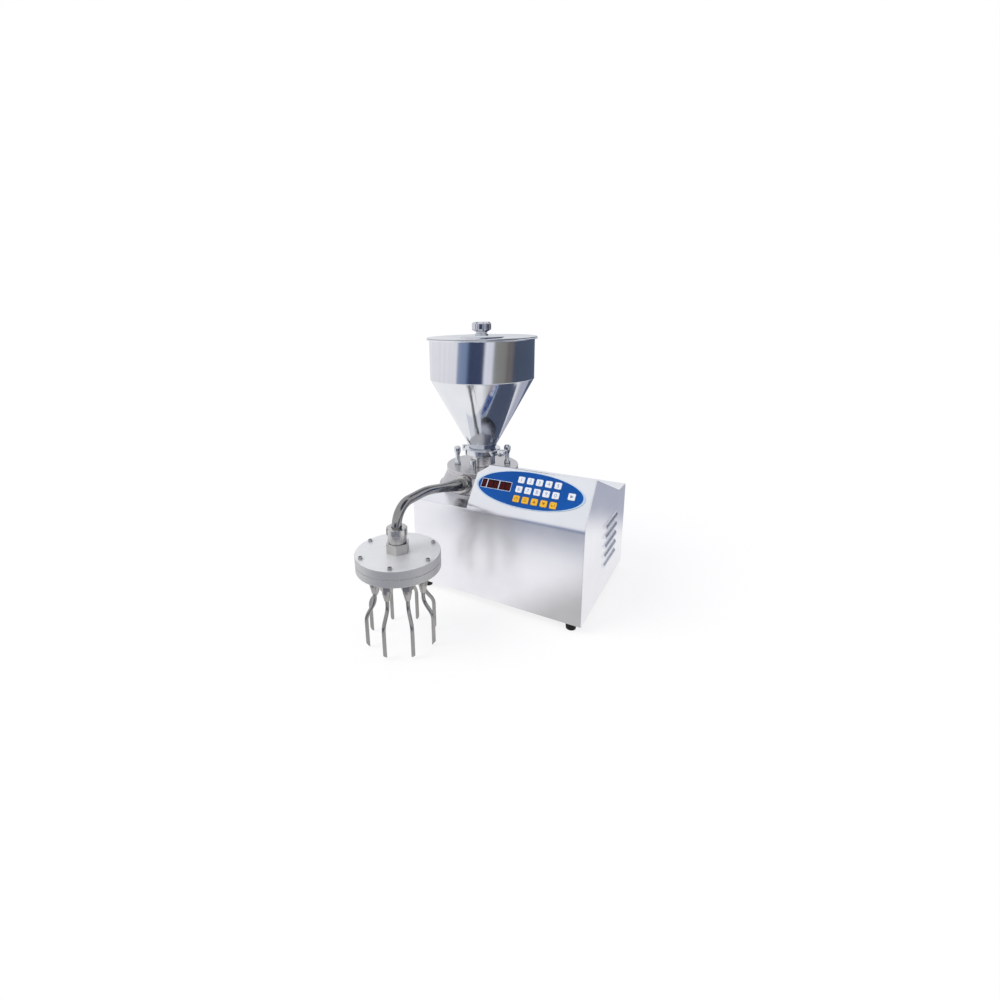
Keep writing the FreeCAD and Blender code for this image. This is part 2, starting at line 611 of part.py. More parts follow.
def bent_path(drawing, x, y, runs, radii):
    """Open path of straight runs (direction in degrees, length) joined by arcs of the radii."""
    spot = Vector(value(x), value(y), 0)
    held = []
    for index, (direction, length) in enumerate(runs):
        angle = math.radians(value(direction))
        along = Vector(math.cos(angle), math.sin(angle), 0)
        line = drawing.addGeometry(Part.LineSegment(spot, spot + along * value(length)), False)
        held.append((line, 1, 2))
        spot = spot + along * value(length)
        if index < len(radii):
            after = math.radians(value(runs[index + 1][0]))
            swing = (after - angle + math.pi) % (2 * math.pi) - math.pi
            side = 1 if swing > 0 else -1
            radius = value(radii[index])
            centre = spot + Vector(-math.sin(angle), math.cos(angle), 0) * side * radius
            begin = angle - side * math.pi / 2
            ends = sorted((begin, begin + swing))
            round_part = Part.Circle(centre, Vector(0, 0, 1), radius)
            arc = drawing.addGeometry(Part.ArcOfCircle(round_part, *ends), False)
            held.append((arc, 1, 2) if side > 0 else (arc, 2, 1))
            spot = centre + Vector(math.cos(begin + swing), math.sin(begin + swing), 0) * radius
    for (one, _, out), (other, into, _) in zip(held, held[1:]):
        hold(drawing, "Tangent", one, out, other, into)
    hold(drawing, "DistanceX", -1, 1, held[0][0], 1, formula=x)
    hold(drawing, "DistanceY", -1, 1, held[0][0], 1, formula=y)
    for index, (direction, length) in enumerate(runs):
        hold(drawing, "Distance", held[2 * index][0], formula=length)
        hold(drawing, "Angle", held[2 * index][0], formula=direction)
    for index, radius in enumerate(radii):
        hold(drawing, "Radius", held[2 * index + 1][0], formula=radius)
    return drawing


def sweep(owner, drawing, path):
    """Sweep a sketch along a path sketch."""
    made, before = feature(owner, "AdditivePipe", drawing)
    made.Spine = (path, [f"Edge{n}" for n in range(1, path.GeometryCount + 1)])
    return settle(made, before, True)


# Places that several pieces share, worked out from the sizes.
TOP_Z = "(foot_height + housing_height)"
PUMP_X = "(housing_x + pump_x)"
PUMP_Y = "(housing_y + pump_y)"
LENGTH = "(housing_length + end_cover_wall)"
SLOPE = "atan2(console_ridge_rise - console_lip; console_ridge_inset)"
REAR_SLOPE = "atan2(console_ridge_rise; console_valley_inset - console_ridge_inset)"
RIDGE_Z = "(housing_height + console_ridge_rise)"
CORNER_Z = "(housing_height + console_lip)"
FASCIA_X = "(housing_x + fascia_centre_x)"
FASCIA_Y = f"(housing_y + fascia_centre_up * cos({SLOPE}))"
FASCIA_Z = f"(foot_height + {CORNER_Z} + fascia_centre_up * sin({SLOPE}))"
PUMP_CLEARANCE = "(casing_foot_radius + console_pump_space)"


def at_corner(thing):
    """Place a piece drawn from the housing's lower left keypad-side corner."""
    place(thing, "housing_x", "housing_y", "foot_height")


def on_pump(thing):
    """Place a piece drawn round the pump axis, from the housing top."""
    place(thing, PUMP_X, PUMP_Y, TOP_Z)


def on_slope(thing):
    """Place a piece drawn on the console's slope, from the oval's middle."""
    place(thing, FASCIA_X, FASCIA_Y, FASCIA_Z, (1, 0, 0), SLOPE)


# Base plate: flat sheet that closes the housing from below and carries the feet.
base_plate = body("base_plate_body")
plate = sketch(base_plate, "base_outline")
rectangle(plate, "housing_length / 2", "housing_depth / 2",
          "housing_length - 2 * sheet_wall - 2 * fit_gap",
          "housing_depth - 2 * sheet_wall - 2 * fit_gap")
pad(base_plate, plate, "base_wall")
hole = circle(sketch(base_plate, "base_hole", z="base_wall"), "foot_inset_x", "foot_inset_y",
              "foot_screw_radius")
row_pattern(base_plate, [pocket(base_plate, hole, "base_wall")], "base_holes",
            "X_Axis", f"{LENGTH} - 2 * foot_inset_x", 2,
            "Y_Axis", "housing_depth - 2 * foot_inset_y", 2)
slot = sketch(base_plate, "vent_slot", z="base_wall")
rectangle(slot, "vent_x", "housing_depth / 2", "vent_width", "vent_length")
row_pattern(base_plate, [pocket(base_plate, slot, "base_wall")], "vent_slots",
            "X_Axis", "vent_pitch", "vents")
at_corner(base_plate)
keep(base_plate, "base_plate")


# Rubber feet: four turned feet with a recess for the screw that holds each to the base plate.
feet = body("feet_body")
turn(feet, outline(sketch(feet, "foot_section", "XZ_Plane", x="foot_inset_x",
                          z="-foot_inset_y"), [
    ("foot_screw_radius", "-foot_screw_seat"), ("foot_screw_radius", "0"), ("foot_radius", "0"),
    ("foot_radius - foot_taper", "-foot_height"), ("foot_counterbore_radius", "-foot_height"),
    ("foot_counterbore_radius", "-foot_screw_seat")]))
row_pattern(feet, [feet.Tip], "four_feet",
            "X_Axis", f"{LENGTH} - 2 * foot_inset_x", 2,
            "Y_Axis", "housing_depth - 2 * foot_inset_y", 2)
at_corner(feet)
keep(feet, "rubber_feet")


# Main housing: one folded and welded sheet shell. The console rises from its flat top, is cut
# back round the pump, and has openings for the keypad; the right end is open inside a lip.
CONSOLE_SECTION = [
    ("0", "0"), ("housing_depth", "0"), ("housing_depth", "housing_height"),
    ("console_valley_inset", "housing_height"), ("console_ridge_inset", RIDGE_Z),
    ("0", CORNER_Z)]

shell = body("housing_shell")
left_section = sketch(shell, "shell_left", "YZ_Plane")
outline(left_section, [("0", "0"), ("housing_depth", "0"), ("housing_depth", "housing_height"),
                       ("0", "housing_height")])
pad(shell, left_section, "console_start")
right_section = sketch(shell, "shell_right", "YZ_Plane", z="console_start")
pad(shell, outline(right_section, CONSOLE_SECTION), "housing_length - console_start")


def console_corner(edge, y, z):
    """Whether an edge runs along X through a corner of the console's section."""
    point = edge.Vertexes[0].Point
    return runs_along(edge, (1, 0, 0)) and near(point.y, value(y)) and near(point.z, value(z))


def round_console(owner, name):
    """Give a solid with the console's section its two bends."""
    soften(owner, f"{name}_bend", "console_bend_radius",
           lambda edge: console_corner(edge, "0", CORNER_Z))
    soften(owner, f"{name}_ridge", "console_ridge_radius",
           lambda edge: console_corner(edge, "console_ridge_inset", RIDGE_Z))


round_console(shell, "shell")
soften(shell, "shell_folds", "fold_radius",
       lambda edge: near(edge.CenterOfMass.x, 0.0) and edge.CenterOfMass.z > 1.0)
scallop = circle(sketch(shell, "pump_recess", z="housing_height"), "pump_x", "pump_y",
                 PUMP_CLEARANCE)
pocket(shell, scallop, "console_ridge_rise + sheet_wall", back=True)
pump_hole = circle(sketch(shell, "pump_opening", z="housing_height"), "pump_x", "pump_y",
                   "casing_spigot_radius + fit_gap")
pocket(shell, pump_hole, "3 * sheet_wall")


def slope_sketch(owner, name):
    """Sketch on the console's slope, from the middle of the oval keypad."""
    return sketch(owner, name, "XY_Plane", "fascia_centre_x",
                  f"fascia_centre_up * cos({SLOPE})", f"{CORNER_Z} + fascia_centre_up * sin({SLOPE})",
                  (1, 0, 0), SLOPE)


KEY_HOLE = "(key_size + 2 * fit_gap)"
KEYS_LENGTH = f"(4 * key_pitch_x + {KEY_HOLE} + 2 * window_margin)"
KEYS_HEIGHT = f"(2 * key_pitch_y + {KEY_HOLE} + 2 * window_margin)"
DISPLAY_LENGTH = "(display_narrow + 2 * display_wide + 2 * display_bar)"
windows = slope_sketch(shell, "keypad_windows")
rectangle(windows, "keys_x", "keys_y", KEYS_LENGTH, KEYS_HEIGHT)
rectangle(windows, "start_key_x", "start_key_y", f"{KEY_HOLE} + 2 * window_margin",
          f"{KEY_HOLE} + 2 * window_margin")
rectangle(windows, "display_x", "display_y", f"{DISPLAY_LENGTH} + window_margin",
          "display_height + 2 * window_margin")
pocket(shell, windows, "3 * sheet_wall")
inlet_hole = sketch(shell, "inlet_opening", "XZ_Plane", z="-housing_depth")
rectangle(inlet_hole, "inlet_x", "inlet_z", "inlet_body_x + 2 * fit_gap",
          "inlet_body_z + 2 * fit_gap")
pocket(shell, inlet_hole, "3 * sheet_wall", back=True)
pocket(shell, rectangle(sketch(shell, "end_opening", "YZ_Plane", z="housing_length"),
                        "housing_depth / 2", "housing_height / 2 - end_lip / 2",
                        "housing_depth - 2 * end_lip", "housing_height - end_lip"),
       "3 * sheet_wall")

# The hollow follows the same section, one sheet thickness further in.
INNER_CORNER_Z = f"({CORNER_Z} + sheet_wall * tan({SLOPE}) - sheet_wall / cos({SLOPE}))"
INNER_RIDGE_Y = (f"(({RIDGE_Z} - {CORNER_Z} + console_ridge_inset * tan({REAR_SLOPE})"
                 f" + sheet_wall / cos({SLOPE}) - sheet_wall / cos({REAR_SLOPE}))"
                 f" / (tan({SLOPE}) + tan({REAR_SLOPE})))")
INNER_RIDGE_Z = f"({CORNER_Z} + {INNER_RIDGE_Y} * tan({SLOPE}) - sheet_wall / cos({SLOPE}))"
INNER_VALLEY_Y = (f"(console_ridge_inset + (console_ridge_rise + sheet_wall"
                  f" - sheet_wall / cos({REAR_SLOPE})) / tan({REAR_SLOPE}))")

hollow = body("housing_hollow")
hollow_left = sketch(hollow, "hollow_left", "YZ_Plane", z="sheet_wall")
outline(hollow_left, [
    ("sheet_wall", "-sheet_wall"), ("housing_depth - sheet_wall", "-sheet_wall"),
    ("housing_depth - sheet_wall", "housing_height - sheet_wall"),
    ("sheet_wall", "housing_height - sheet_wall")])
pad(hollow, hollow_left, "console_start")
hollow_right = sketch(hollow, "hollow_right", "YZ_Plane", z="console_start + sheet_wall")
outline(hollow_right, [
    ("sheet_wall", "-sheet_wall"), ("housing_depth - sheet_wall", "-sheet_wall"),
    ("housing_depth - sheet_wall", "housing_height - sheet_wall"),
    (INNER_VALLEY_Y, "housing_height - sheet_wall"), (INNER_RIDGE_Y, INNER_RIDGE_Z),
    ("sheet_wall", INNER_CORNER_Z)])
pad(hollow, hollow_right, "housing_length - console_start - 2 * sheet_wall")
soften(hollow, "hollow_bend", "console_bend_radius - sheet_wall",
       lambda edge: console_corner(edge, "sheet_wall", INNER_CORNER_Z))
soften(hollow, "hollow_ridge", "console_ridge_radius - sheet_wall",
       lambda edge: console_corner(edge, INNER_RIDGE_Y, INNER_RIDGE_Z))
hollow_scallop = circle(sketch(hollow, "hollow_recess", z="housing_height - sheet_wall"),
                        "pump_x", "pump_y", f"{PUMP_CLEARANCE} + sheet_wall")
pocket(hollow, hollow_scallop, "console_ridge_rise + sheet_wall", back=True)
main_housing = doc.addObject("Part::Cut", "main_housing_cut")
main_housing.Base = shell
main_housing.Tool = hollow
at_corner(main_housing)
keep(main_housing, "main_housing")


# End cover: flat plate over the open end, with a column of pressed louvres.
end_cover = body("end_cover_body")
pad(end_cover, outline(sketch(end_cover, "end_outline", "YZ_Plane", z="housing_length"),
                       CONSOLE_SECTION), "end_cover_wall")
round_console(end_cover, "end")
LOUVRE_FACE = f"{LENGTH}"
hood = sketch(end_cover, "louvre_hood", "XZ_Plane", z="-louvre_centre_y")
outline(hood, [
    (f"{LOUVRE_FACE} - end_cover_wall / 2", "louvre_low"),
    (f"{LOUVRE_FACE} + louvre_depth", "louvre_low"),
    (f"{LOUVRE_FACE} + louvre_lip", "louvre_low + louvre_mouth"),
    (f"{LOUVRE_FACE} - end_cover_wall / 2", "louvre_low + louvre_height")])
hood_pad = pad(end_cover, hood, "louvre_length", both=True)
gap = sketch(end_cover, "louvre_gap", "XZ_Plane", z="-louvre_centre_y")
outline(gap, [
    (f"{LOUVRE_FACE} - 2 * end_cover_wall", "louvre_low - louvre_wall"),
    (f"{LOUVRE_FACE} + louvre_depth - louvre_wall", "louvre_low - louvre_wall"),
    (f"{LOUVRE_FACE} + louvre_lip - louvre_wall", "louvre_low + louvre_mouth - louvre_wall"),
    (f"{LOUVRE_FACE} - 2 * end_cover_wall", "louvre_low + louvre_height - 2 * louvre_wall")])
gap_cut = pocket(end_cover, gap, "louvre_length - 2 * louvre_wall", both=True)
row_pattern(end_cover, [hood_pad, gap_cut], "louvre_column", "Z_Axis", "louvre_pitch",
            "louvre_rows")
at_corner(end_cover)
keep(end_cover, "end_cover")


# Oval keypad: a stiff printed plate on the slope, pierced for the display and the keys.
oval = doc.addObject("Part::Ellipse", "oval_edge")
bind(oval, MajorRadius="fascia_half_length", MinorRadius="fascia_half_height")
oval_plate = doc.addObject("Part::Extrusion", "oval_plate")
oval_plate.Base = oval
oval_plate.DirMode = "Custom"
oval_plate.Dir = Vector(0, 0, 1)
oval_plate.Solid = True
bind(oval_plate, LengthFwd="fascia_thickness")
DISPLAY_LEFT = f"(display_x - {DISPLAY_LENGTH} / 2)"
openings = body("fascia_openings")
key_hole = sketch(openings, "key_hole", z="-1")
rectangle(key_hole, "keys_x - 2 * key_pitch_x", "keys_y - key_pitch_y", KEY_HOLE, KEY_HOLE)
key_cut = pad(openings, key_hole, "fascia_thickness + 2")


def upright(edge):
    """Whether an edge runs along Z."""
    return runs_along(edge, (0, 0, 1))


key_round = soften(openings, "key_hole_corners", "key_corner + fit_gap", upright)
row_pattern(openings, [key_cut, key_round], "key_holes", "X_Axis", "key_pitch_x", 5,
            "Y_Axis", "key_pitch_y", 3)
single = sketch(openings, "other_openings", z="-1")
rectangle(single, "start_key_x", "start_key_y", KEY_HOLE, KEY_HOLE)
rectangle(single, f"{DISPLAY_LEFT} + display_narrow / 2", "display_y", "display_narrow",
          "display_height")
for number in (0.5, 1.5):
    rectangle(single, f"{DISPLAY_LEFT} + display_narrow + {number + 0.5} * display_bar"
              f" + {number} * display_wide", "display_y", "display_wide", "display_height")
pad(openings, single, "fascia_thickness + 2")
fascia = doc.addObject("Part::Cut", "fascia_cut")
fascia.Base = oval_plate
fascia.Tool = openings
on_slope(fascia)
keep(fascia, "keypad_fascia")

lens = body("lens_body")
pad(lens, rectangle(sketch(lens, "lens_outline"), "display_x", "display_y",
                    f"{DISPLAY_LENGTH} + window_margin - 2 * fit_gap",
                    "display_height + 2 * window_margin - 2 * fit_gap"),
    "lens_thickness", back=True)
on_slope(lens)
keep(lens, "display_window")


# Keys: moulded caps that slide square to the slope, each held in by a skirt under the plate.
def key(label, x, y):
    """One key, with its middle at x, y on the slope."""
    cap = body(f"{label}_body")
    pad(cap, rectangle(sketch(cap, f"{label}_cap", z="-fit_gap"), "0", "0", "key_size", "key_size"),
        "fascia_thickness + key_proud + fit_gap")
    soften(cap, f"{label}_corners", "key_corner", upright)
    soften(cap, f"{label}_top", "key_soft_edge",
           lambda edge: near(edge.CenterOfMass.z, value("fascia_thickness + key_proud")))
    pad(cap, rectangle(sketch(cap, f"{label}_skirt", z="-fit_gap"), "0", "0",
                       "key_size + 2 * key_skirt", "key_size + 2 * key_skirt"),
        "key_skirt_thickness", back=True)
    place(cap, f"{FASCIA_X} + {x}", f"{FASCIA_Y} + ({y}) * cos({SLOPE})",
          f"{FASCIA_Z} + ({y}) * sin({SLOPE})", (1, 0, 0), SLOPE)
    keep(cap, label)


for row, names in enumerate((("1", "2", "3", "4", "5"), ("6", "7", "8", "9", "0"))):
    for column, name in enumerate(names):
        key(f"key_{name}", f"(keys_x + {column - 2} * key_pitch_x)",
            f"(keys_y + {1 - row} * key_pitch_y)")
for column, name in enumerate(("time", "count", "up", "down", "enter")):
    key(f"key_{name}", f"(keys_x + {column - 2} * key_pitch_x)", "(keys_y - key_pitch_y)")
key("key_start", "start_key_x", "start_key_y")


# Keypad board under the slope: circuit board with a switch plunger under each key.
board = body("keypad_board_body")
BOARD_TOP = "-(board_depth - board_thickness)"
BOARD_LENGTH = f"(start_key_x - display_x + {DISPLAY_LENGTH} / 2 + key_size + 10)"
BOARD_X = f"((start_key_x + display_x) / 2 - {DISPLAY_LENGTH} / 4 + key_size / 2)"
BOARD_LEFT = f"({BOARD_X} - {BOARD_LENGTH} / 2)"
BOARD_RIGHT = f"({BOARD_X} + {BOARD_LENGTH} / 2)"
pad(board, outline(sketch(board, "board_outline", z="-board_depth"), [
    (BOARD_LEFT, "-board_half_height"), (BOARD_RIGHT, "-board_half_height"),
    (BOARD_RIGHT, "board_half_height"), (f"{BOARD_LEFT} + board_corner", "board_half_height"),
    (BOARD_LEFT, "board_half_height - board_corner")]), "board_thickness")
PLUNGER = f"(-fit_gap - key_skirt_thickness - key_travel - fit_gap - {BOARD_TOP})"
plunger = circle(sketch(board, "plunger", z=BOARD_TOP), "keys_x - 2 * key_pitch_x",
                 "keys_y - key_pitch_y", "plunger_radius")
row_pattern(board, [pad(board, plunger, PLUNGER)], "plungers", "X_Axis", "key_pitch_x", 5,
            "Y_Axis", "key_pitch_y", 3)
pad(board, circle(sketch(board, "start_plunger", z=BOARD_TOP), "start_key_x", "start_key_y",
                  "plunger_radius"), PLUNGER)
pad(board, rectangle(sketch(board, "digit_module", z=BOARD_TOP), "display_x", "display_y",
                     f"{DISPLAY_LENGTH} - 2", "display_height - 1"),
    f"board_depth - board_thickness - lens_thickness - fit_gap")
posts = sketch(board, "board_posts", z=BOARD_TOP)
POST_LEFT = f"(keys_x - {KEYS_LENGTH} / 2 - board_post_radius - 1)"
POST_RIGHT = f"(keys_x + {KEYS_LENGTH} / 2 + board_post_radius + 1)"
for x in (POST_LEFT, POST_RIGHT):
    for y in ("board_half_height - 5", "5 - board_half_height"):
        circle(posts, x, y, "board_post_radius")
pad(board, posts, "board_depth - board_thickness - sheet_wall")
on_slope(board)
keep(board, "keypad_board")


# Power inlet in the rear wall: flange, socket with three pins, and a switch above it.
REAR_FACE = "(housing_depth + inlet_flange)"
inlet = body("inlet_body")
pad(inlet, rectangle(sketch(inlet, "inlet_flange_outline", "XZ_Plane", z="-housing_depth"),
                     "inlet_x", "inlet_z", "inlet_flange_x", "inlet_flange_z"),
    "inlet_flange", back=True)
soften(inlet, "inlet_corners", "inlet_flange", lambda edge: runs_along(edge, (0, 1, 0)))
pad(inlet, rectangle(sketch(inlet, "inlet_block", "XZ_Plane", z="-housing_depth"),
                     "inlet_x", "inlet_z", "inlet_body_x", "inlet_body_z"), "inlet_depth")
SOCKET_Z = "(inlet_z - socket_drop)"
socket = sketch(inlet, "socket", "XZ_Plane", z=f"-{REAR_FACE}")
outline(socket, [
    ("inlet_x - socket_x / 2", f"{SOCKET_Z} - socket_z / 2"),
    ("inlet_x + socket_x / 2", f"{SOCKET_Z} - socket_z / 2"),
    ("inlet_x + socket_x / 2", f"{SOCKET_Z} + socket_z / 2 - socket_slope"),
    ("inlet_x + socket_x / 2 - socket_slope", f"{SOCKET_Z} + socket_z / 2"),
    ("inlet_x - socket_x / 2 + socket_slope", f"{SOCKET_Z} + socket_z / 2"),
    ("inlet_x - socket_x / 2", f"{SOCKET_Z} + socket_z / 2 - socket_slope")])
pocket(inlet, socket, "socket_depth", back=True)
pins = sketch(inlet, "socket_pins", "XZ_Plane", z=f"-({REAR_FACE} - socket_depth)")
rectangle(pins, "inlet_x - pin_spacing", f"{SOCKET_Z} - pin_z / 2", "pin_x", "pin_z")
rectangle(pins, "inlet_x", f"{SOCKET_Z} + pin_z / 2", "pin_x", "pin_z")
rectangle(pins, "inlet_x + pin_spacing", f"{SOCKET_Z} - pin_z / 2", "pin_x", "pin_z")
pad(inlet, pins, "pin_length", back=True)
ROCKER_Z = "(inlet_z + rocker_rise)"
PIVOT_Y = f"({REAR_FACE} - rocker_sink)"
pocket(inlet, rectangle(sketch(inlet, "rocker_seat", "XZ_Plane", z=f"-{REAR_FACE}"),
                        "inlet_x", ROCKER_Z, "rocker_x + 2 * fit_gap", "rocker_z + 2 * fit_gap"),
       "rocker_sink + rocker_back + 2 * fit_gap", back=True)
pocket(inlet, circle(sketch(inlet, "pivot_holes", "YZ_Plane", z="inlet_x"), PIVOT_Y, ROCKER_Z,
                     "pivot_radius + shaft_gap"),
       "rocker_x + 2 * pivot_reach + 2 * fit_gap", both=True)
at_corner(inlet)
keep(inlet, "inlet_module")

rocker = body("rocker_body")
rocker_section = sketch(rocker, "rocker_section", "YZ_Plane")
outline(rocker_section, [
    ("rocker_face", "-rocker_z / 2 + rocker_chamfer"), ("rocker_face - 1", "0"),
    ("rocker_face", "rocker_z / 2 - rocker_chamfer"), ("-rocker_back / 2", "rocker_z / 2 - fit_gap"),
    ("-rocker_back", "0"), ("-rocker_back / 2", "fit_gap - rocker_z / 2")])
pad(rocker, rocker_section, "rocker_x", both=True)
pad(rocker, circle(sketch(rocker, "pivot", "YZ_Plane"), "0", "0", "pivot_radius"),
    "rocker_x + 2 * pivot_reach", both=True)
place(rocker, "housing_x + inlet_x", f"housing_y + {PIVOT_Y}", f"foot_height + {ROCKER_Z}",
      (1, 0, 0), "0 - rocker_tilt")
keep(rocker, "switch_rocker")


# Power supply and control board on the base plate, beside the motor.
SUPPLY_X = "(housing_length - supply_end_gap - supply_length)"
supply = body("supply_body")
pad(supply, rectangle(sketch(supply, "supply_outline", z="base_wall"),
                      f"{SUPPLY_X} + supply_length / 2", "supply_y + supply_width / 2",
                      "supply_length", "supply_width"), "supply_height")
pocket(supply, rectangle(sketch(supply, "supply_hollow", z="base_wall"),
                         f"{SUPPLY_X} + supply_length / 2", "supply_y + supply_width / 2",
                         "supply_length - 2 * supply_sheet", "supply_width - 2 * supply_sheet"),
       "supply_height - supply_sheet", back=True)
air = sketch(supply, "supply_slot", z="base_wall + supply_height")
rectangle(air, f"{SUPPLY_X} + supply_air_x", "supply_y + supply_width / 2", "vent_width",
          "supply_air_length")
row_pattern(supply, [pocket(supply, air, "2 * supply_sheet")], "supply_slots", "X_Axis",
            "supply_length / 10", 7)
at_corner(supply)
keep(supply, "power_supply")

control = body("control_body")
CONTROL_TOP = "(base_wall + control_post + board_thickness)"
CONTROL_X = "(housing_length - control_end_gap - control_length)"
CONTROL_MID = (f"({CONTROL_X} + control_length / 2)", "(control_y + control_width / 2)")
pad(control, rectangle(sketch(control, "control_outline", z="base_wall + control_post"),
                       *CONTROL_MID, "control_length", "control_width"), "board_thickness")
post = circle(sketch(control, "control_post_foot", z="base_wall"), f"{CONTROL_X} + 6",
              "control_y + 6", "board_post_radius")
row_pattern(control, [pad(control, post, "control_post")], "control_posts",
            "X_Axis", "control_length - 12", 2, "Y_Axis", "control_width - 12", 2)
chips = sketch(control, "control_blocks", z=CONTROL_TOP)
rectangle(chips, CONTROL_MID[0], CONTROL_MID[1], "control_chip_size", "control_chip_size")
rectangle(chips, CONTROL_MID[0], "control_y + control_strip_width", "control_strip_length",
          "control_strip_width")
pad(control, chips, "control_chip")
tall = sketch(control, "control_tall_blocks", z=CONTROL_TOP)
rectangle(tall, f"{CONTROL_X} + control_relay_x", "control_y + control_rear_row",
          "control_relay_length", "control_relay_width")
circle(tall, f"{CONTROL_X} + control_capacitor_x", "control_y + control_rear_row",
       "control_capacitor_radius")
circle(tall, f"{CONTROL_X} + control_capacitor_x", "control_y + control_front_row",
       "control_capacitor_radius")
pad(control, tall, "control_capacitor_height")
at_corner(control)
keep(control, "control_board")


# Pump casing: turned foot, flare and bowl, with the rotor chamber and the rising outlet.
def outlet_sketch(owner, name, along):
    """Sketch square to the outlet axis, this far outside the joint with the pipe."""
    return sketch(owner, name, "XZ_Plane", 0, f"outlet_rise + ({along}) * sin(outlet_tilt)",
                  f"outlet_reach + ({along}) * cos(outlet_tilt)", (-1, 0, 0), "outlet_tilt")


CHAMBER_RADIUS = "(rotor_spacing * 2 / 3 + chamber_gap)"
STUD_X = "(stud_circle * cos(stud_angle))"
STUD_Y = "(stud_circle * sin(stud_angle))"
casing = turned("casing", [
    ("0", "-casing_floor"), ("casing_spigot_radius", "-casing_floor"),
    ("casing_spigot_radius", "0"), ("casing_foot_radius", "0"),
    ("casing_foot_radius", "casing_foot_height"),
    ("casing_foot_radius - casing_foot_step", "casing_foot_height"),
    ("casing_radius", "casing_cone_top"), ("casing_radius", "casing_height"),
    ("0", "casing_height")])
pocket(casing, circle(outlet_sketch(casing, "outlet_face", "-outlet_spot_depth"), "0", "0",
                      "outlet_spot_radius"), "2 * outlet_spot_depth", back=True)
pad(casing, circle(outlet_sketch(casing, "outlet_spigot", "0"), "0", "0", "outlet_spigot_radius"),
    "outlet_spigot_length", back=True)
pocket(casing, racetrack(sketch(casing, "chamber", z="casing_height"), "rotor_spacing / 2",
                         CHAMBER_RADIUS), "casing_height")
pocket(casing, circle(outlet_sketch(casing, "outlet_bore_mouth", "0"), "0", "0", "outlet_bore"),
       "(outlet_reach - outlet_bore_end) / cos(outlet_tilt)")
groove = sketch(casing, "seal_groove", z="casing_height")
racetrack(groove, "rotor_spacing / 2", f"{CHAMBER_RADIUS} + cover_seal_gap")
racetrack(groove, "rotor_spacing / 2", f"{CHAMBER_RADIUS} + cover_seal_gap + cover_seal_width")
pocket(casing, groove, "cover_seal_depth")
seal_seats = sketch(casing, "seal_seats")
bush_seats = sketch(casing, "bush_seats")
for side in ("-rotor_spacing / 2", "rotor_spacing / 2"):
    circle(seal_seats, side, "0", "seal_radius")
    circle(bush_seats, side, "0", "bush_radius")
pocket(casing, seal_seats, "seal_height")
pocket(casing, bush_seats, "casing_floor")
stud_holes = sketch(casing, "stud_holes", z="casing_height")
for side in (STUD_X, f"-{STUD_X}"):
    circle(stud_holes, side, STUD_Y if side == STUD_X else f"-{STUD_Y}", "stud_radius")
pocket(casing, stud_holes, "stud_depth")
pocket(casing, circle(sketch(casing, "pin_hole", z="casing_height"), "0",
                      "-locating_pin_offset", "locating_pin_shank"), "locating_pin_depth")
on_pump(casing)
keep(casing, "pump_casing")


# Cover seal: endless ring that fills the groove round the chamber.
cover_seal = body("cover_seal_body")
ring = sketch(cover_seal, "seal_ring", z="casing_height - cover_seal_depth")
racetrack(ring, "rotor_spacing / 2", f"{CHAMBER_RADIUS} + cover_seal_gap")
racetrack(ring, "rotor_spacing / 2", f"{CHAMBER_RADIUS} + cover_seal_gap + cover_seal_width")
pad(cover_seal, ring, "cover_seal_depth")
on_pump(cover_seal)
keep(cover_seal, "cover_seal")


# Pump cover with the inlet port, the neck and the lower flange of the clamp joint.
COVER_TOP = "(casing_height + cover_thickness)"
NECK_BORE = "(neck_radius - neck_wall)"
cover = turned("cover", [
    ("0", "casing_height"), ("casing_radius", "casing_height"), ("casing_radius", COVER_TOP),
    ("neck_radius", COVER_TOP), ("neck_radius", "clamp_rise - ferrule_root"),
    ("ferrule_radius", "clamp_rise - ferrule_edge"), ("ferrule_radius", "clamp_rise - gasket_half"),
    (NECK_BORE, "clamp_rise - gasket_half"), (NECK_BORE, COVER_TOP), ("0", COVER_TOP)])
soften(cover, "cover_edge", "cover_edge_radius",
       lambda edge: ring_at(edge, "casing_radius", COVER_TOP))
cover_holes = sketch(cover, "cover_holes", z=COVER_TOP)
for side in (STUD_X, f"-{STUD_X}"):
    circle(cover_holes, side, STUD_Y if side == STUD_X else f"-{STUD_Y}",
           "stud_radius + fit_gap")
circle(cover_holes, "0", "-locating_pin_offset", "locating_pin_shank + fit_gap")
circle(cover_holes, "0", "inlet_port_offset", "inlet_port_radius")
pocket(cover, cover_holes, "cover_thickness")
on_pump(cover)
keep(cover, "pump_cover")


# Two threaded studs for the quick-release knobs, and the pin that locates the cover.
studs = body("studs_body")
stud_feet = sketch(studs, "stud_feet", z="casing_height - stud_depth")
for side in (STUD_X, f"-{STUD_X}"):
    circle(stud_feet, side, STUD_Y if side == STUD_X else f"-{STUD_Y}", "stud_radius")
pad(studs, stud_feet, "stud_depth + cover_thickness + stud_above")
pad(studs, circle(sketch(studs, "pin_shank", z="casing_height - locating_pin_depth"), "0",
                  "-locating_pin_offset", "locating_pin_shank"),
    "locating_pin_depth + cover_thickness")
pad(studs, circle(sketch(studs, "pin_head", z=COVER_TOP), "0", "-locating_pin_offset",
                  "locating_pin_radius"), "locating_pin_height")
soften(studs, "pin_bevel", "locating_pin_edge",
       lambda edge: edge.Curve.TypeId == "Part::GeomCircle"
       and near(edge.Curve.Center.z, value(f"{COVER_TOP} + locating_pin_height")), "Chamfer")
on_pump(studs)
keep(studs, "cover_studs")


